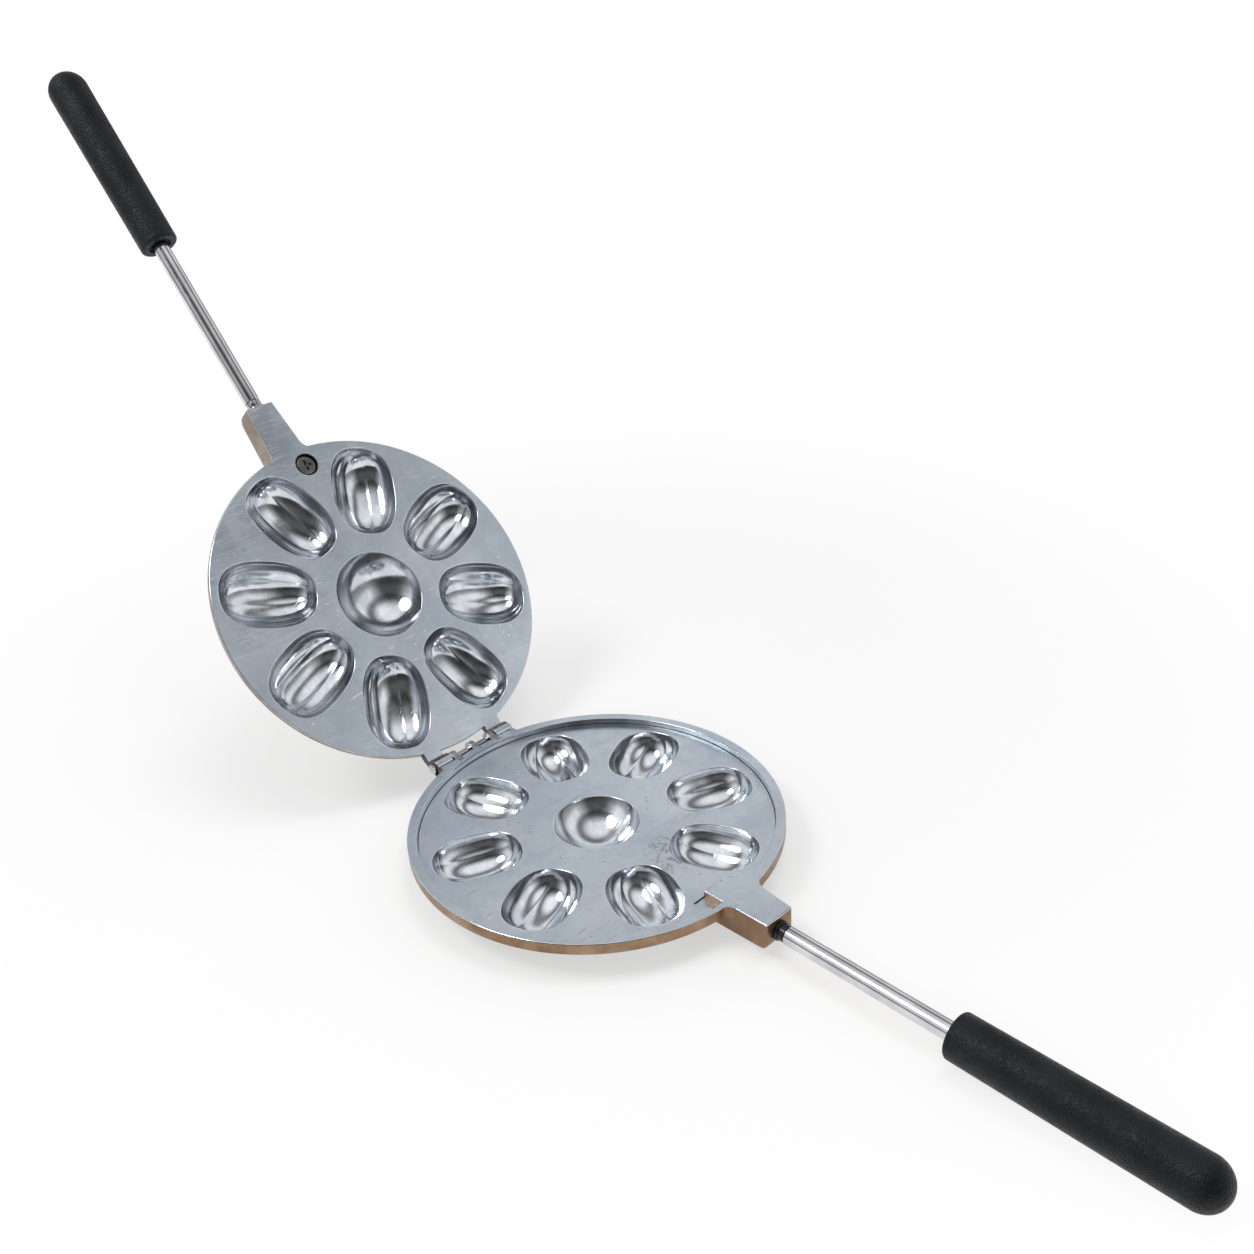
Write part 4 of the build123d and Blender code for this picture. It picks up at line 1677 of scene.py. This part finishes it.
@dataclass
class Mold:
    """The whole mold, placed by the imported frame."""

    look: Finishes
    floor_z: float = 15.5 * MM
    rim_height: float = 3.1 * MM
    seat_gap: float = 0.1 * MM
    upper_thickness: float = 3.4 * MM
    boss_height: float = 13.4 * MM
    screw_inset: float = 10.0 * MM
    screw_offset: float = 5.2 * MM
    screw_sink: float = 1.0 * MM
    recess_radius: float = 5.65 * MM
    recess_depth: float = 3.1 * MM
    lower_boss_reach: float = 19.8 * MM
    upper_boss_reach: float = 27.5 * MM
    notch_width: float = 6.0 * MM
    notch_depth: float = 0.6 * MM
    notch_wall: float = 3.0 * MM
    ring_inset: float = 28.5 * MM
    root_inset: float = 19.0 * MM
    lower_rod_side: float = 2.2 * MM
    upper_rod_side: float = -4.7 * MM
    lift: float = 0.01 * MM

    def __post_init__(self) -> None:
        """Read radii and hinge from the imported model."""
        joint = frame["joints"][0]
        self.pin = Vector(joint["pos_m"])
        self.opening = joint["range_deg"][1]
        self.lower_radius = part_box("lower_plate")[1].y
        self.upper_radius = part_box("upper_plate")[1].y
        self.rim = self.floor_z + self.rim_height
        self.face = self.rim + self.seat_gap
        self.opened = swing(self.pin, self.opening)
        self.ring = self.lower_radius - self.ring_inset
        self.root = self.lower_radius - self.root_inset
        self.screw_x = self.lower_radius - self.screw_inset
        radii = (self.lower_radius, self.upper_radius)
        self.hinge = Hinge(self.pin, self.rim, self.face, self.upper_thickness, *radii, self.opening)

    def lower_half(self) -> None:
        """The lower half's casting, and the hinge pin."""
        skins = (self.look.lower_face, self.look.lower_edge)
        edge = self.lower_radius
        boss = Boss(
            step=(edge - 13.8 * MM, 4.0 * MM, 20.0 * MM),
            outer=(edge + self.lower_boss_reach, 2.5 * MM, 15.3 * MM),
            root=self.root,
            top=self.rim_height + self.lift,
            low=self.rim_height - self.boss_height,
        )
        plate = Plate(
            "lower_plate",
            edge,
            under=2.5 * MM,
            bowls=BowlForm(length=39.0 * MM, width=31.0 * MM, depth=13.0 * MM, bulge=1.0 * MM),
            middle_diameter=38.5 * MM,
            wall=3.5 * MM,
            base=2.5 * MM,
            ring=self.ring,
            rim_height=self.rim_height,
            rim_width=4.5 * MM,
        )
        notch_y = boss.side(boss.step[0], -1)
        notch = block(
            "notch",
            (boss.step[0], notch_y - self.notch_width, -self.notch_depth),
            (edge - self.notch_wall, notch_y + 1 * MM, self.rim_height + 3 * MM),
        )
        parts = [plate.build(skins, self.look.bowl, self.look.back, self.look.shade, notch)]
        shine = (*skins, self.look.bowl)
        carrier = boss.build(-0.3 * MM, shine)
        plate.clear(carrier)
        mouth = Vector((self.screw_x, self.lower_rod_side + self.screw_offset, boss.low))
        depth = Vector((0, 0, self.recess_depth))
        carve(carrier, drum("recess_tool", self.recess_radius, mouth - depth, mouth + depth, 72))
        heights = (-2.4 * MM, self.rim_height + self.lift / 2)
        parts += [carrier] + [boss.web(edge, way, heights, shine) for way in (-1, 1)]
        casting = join("lower_casting", parts)
        casting.data.transform(Matrix.Translation((0, 0, self.floor_z)))
        # The hinge block's sides wear dark grey painted shade.
        skins = (self.look.lower_face, self.look.hinge, self.look.pin)
        casting = join("lower_casting", [casting] + self.hinge.lower_parts(skins))
        here = Matrix.Identity(4)
        finished(casting, here, "lower_plate", "lower_half")
        finished(self.hinge.pin_piece(self.look.pin), here, "hinge_pin", "lower_half")

    def upper_half(self) -> None:
        """The upper half's casting."""
        skins = (self.look.upper_face, self.look.upper_edge)
        edge = self.upper_radius
        boss = Boss(
            step=(edge + 1.0 * MM, 4.7 * MM, 18.4 * MM),
            outer=(edge + self.upper_boss_reach, 5.9 * MM, 14.2 * MM),
            root=self.root,
            top=-0.7 * MM,
            low=-self.boss_height,
        )
        cup_y = -self.upper_rod_side - self.screw_offset
        cup = Cup(self.screw_x, cup_y, self.recess_radius, self.recess_depth)
        plate = Plate(
            "upper_plate",
            edge,
            under=self.upper_thickness,
            bowls=BowlForm(length=46.8 * MM, width=34.0 * MM, depth=15.0 * MM, bulge=2.0 * MM),
            middle_diameter=44.2 * MM,
            wall=2.5 * MM,
            base=2.5 * MM,
            ring=self.ring,
            cup=cup,
        )
        parts = [plate.build(skins, self.look.bowl, self.look.back, self.look.shade)]
        shine = (*skins, self.look.bowl)
        carrier = boss.build(boss.top, shine)
        plate.clear(carrier)
        carve(carrier, cup.tool())
        heights = (-3.3 * MM, boss.top - self.lift / 2)
        parts += [carrier] + [boss.web(edge, way, heights, shine) for way in (-1, 1)]
        casting = join("upper_casting", parts)
        casting.data.transform(Matrix.Translation((0, 0, self.face)) @ Matrix.Rotation(math.pi, 4, "X"))
        # The lugs' sides wear dark grey painted shade.
        skins = (self.look.upper_face, self.look.hinge)
        casting = join("upper_casting", [casting] + self.hinge.upper_parts(skins))
        finished(casting, self.opened, "upper_plate", "upper_half")

    def handles(self) -> None:
        """Both rods with their collars, screws and grips."""
        lower_screw = (
            self.screw_x,
            self.lower_rod_side + self.screw_offset,
            self.rim - self.boss_height + self.screw_sink,
        )
        upper_screw = (self.screw_x, self.upper_rod_side + self.screw_offset, self.face + self.screw_sink)
        lower = Handle(
            "lower",
            outer=self.lower_radius + self.lower_boss_reach,
            side=self.lower_rod_side,
            height=self.rim - 6.6 * MM,
            slope=-0.62,
            visible=78.6 * MM,
            screw_place=Matrix.Translation(lower_screw),
        )
        upper = Handle(
            "upper",
            outer=self.upper_radius + self.upper_boss_reach,
            side=self.upper_rod_side,
            height=self.face + 7.4 * MM,
            slope=1.6,
            visible=93.6 * MM,
            screw_place=Matrix.Translation(upper_screw),
            bright_collar=True,
        )
        lower.build(Matrix.Identity(4), "lower_half", self.look)
        upper.build(self.opened, "upper_half", self.look)

    def build(self) -> None:
        """Build every piece."""
        self.lower_half()
        self.upper_half()
        self.handles()


def main() -> None:
    """Build the scene."""
    logging.basicConfig(level=logging.INFO, format="%(message)s")
    Mold(Finishes()).build()
    Studio().build()


if __name__ == "__main__":
    main()
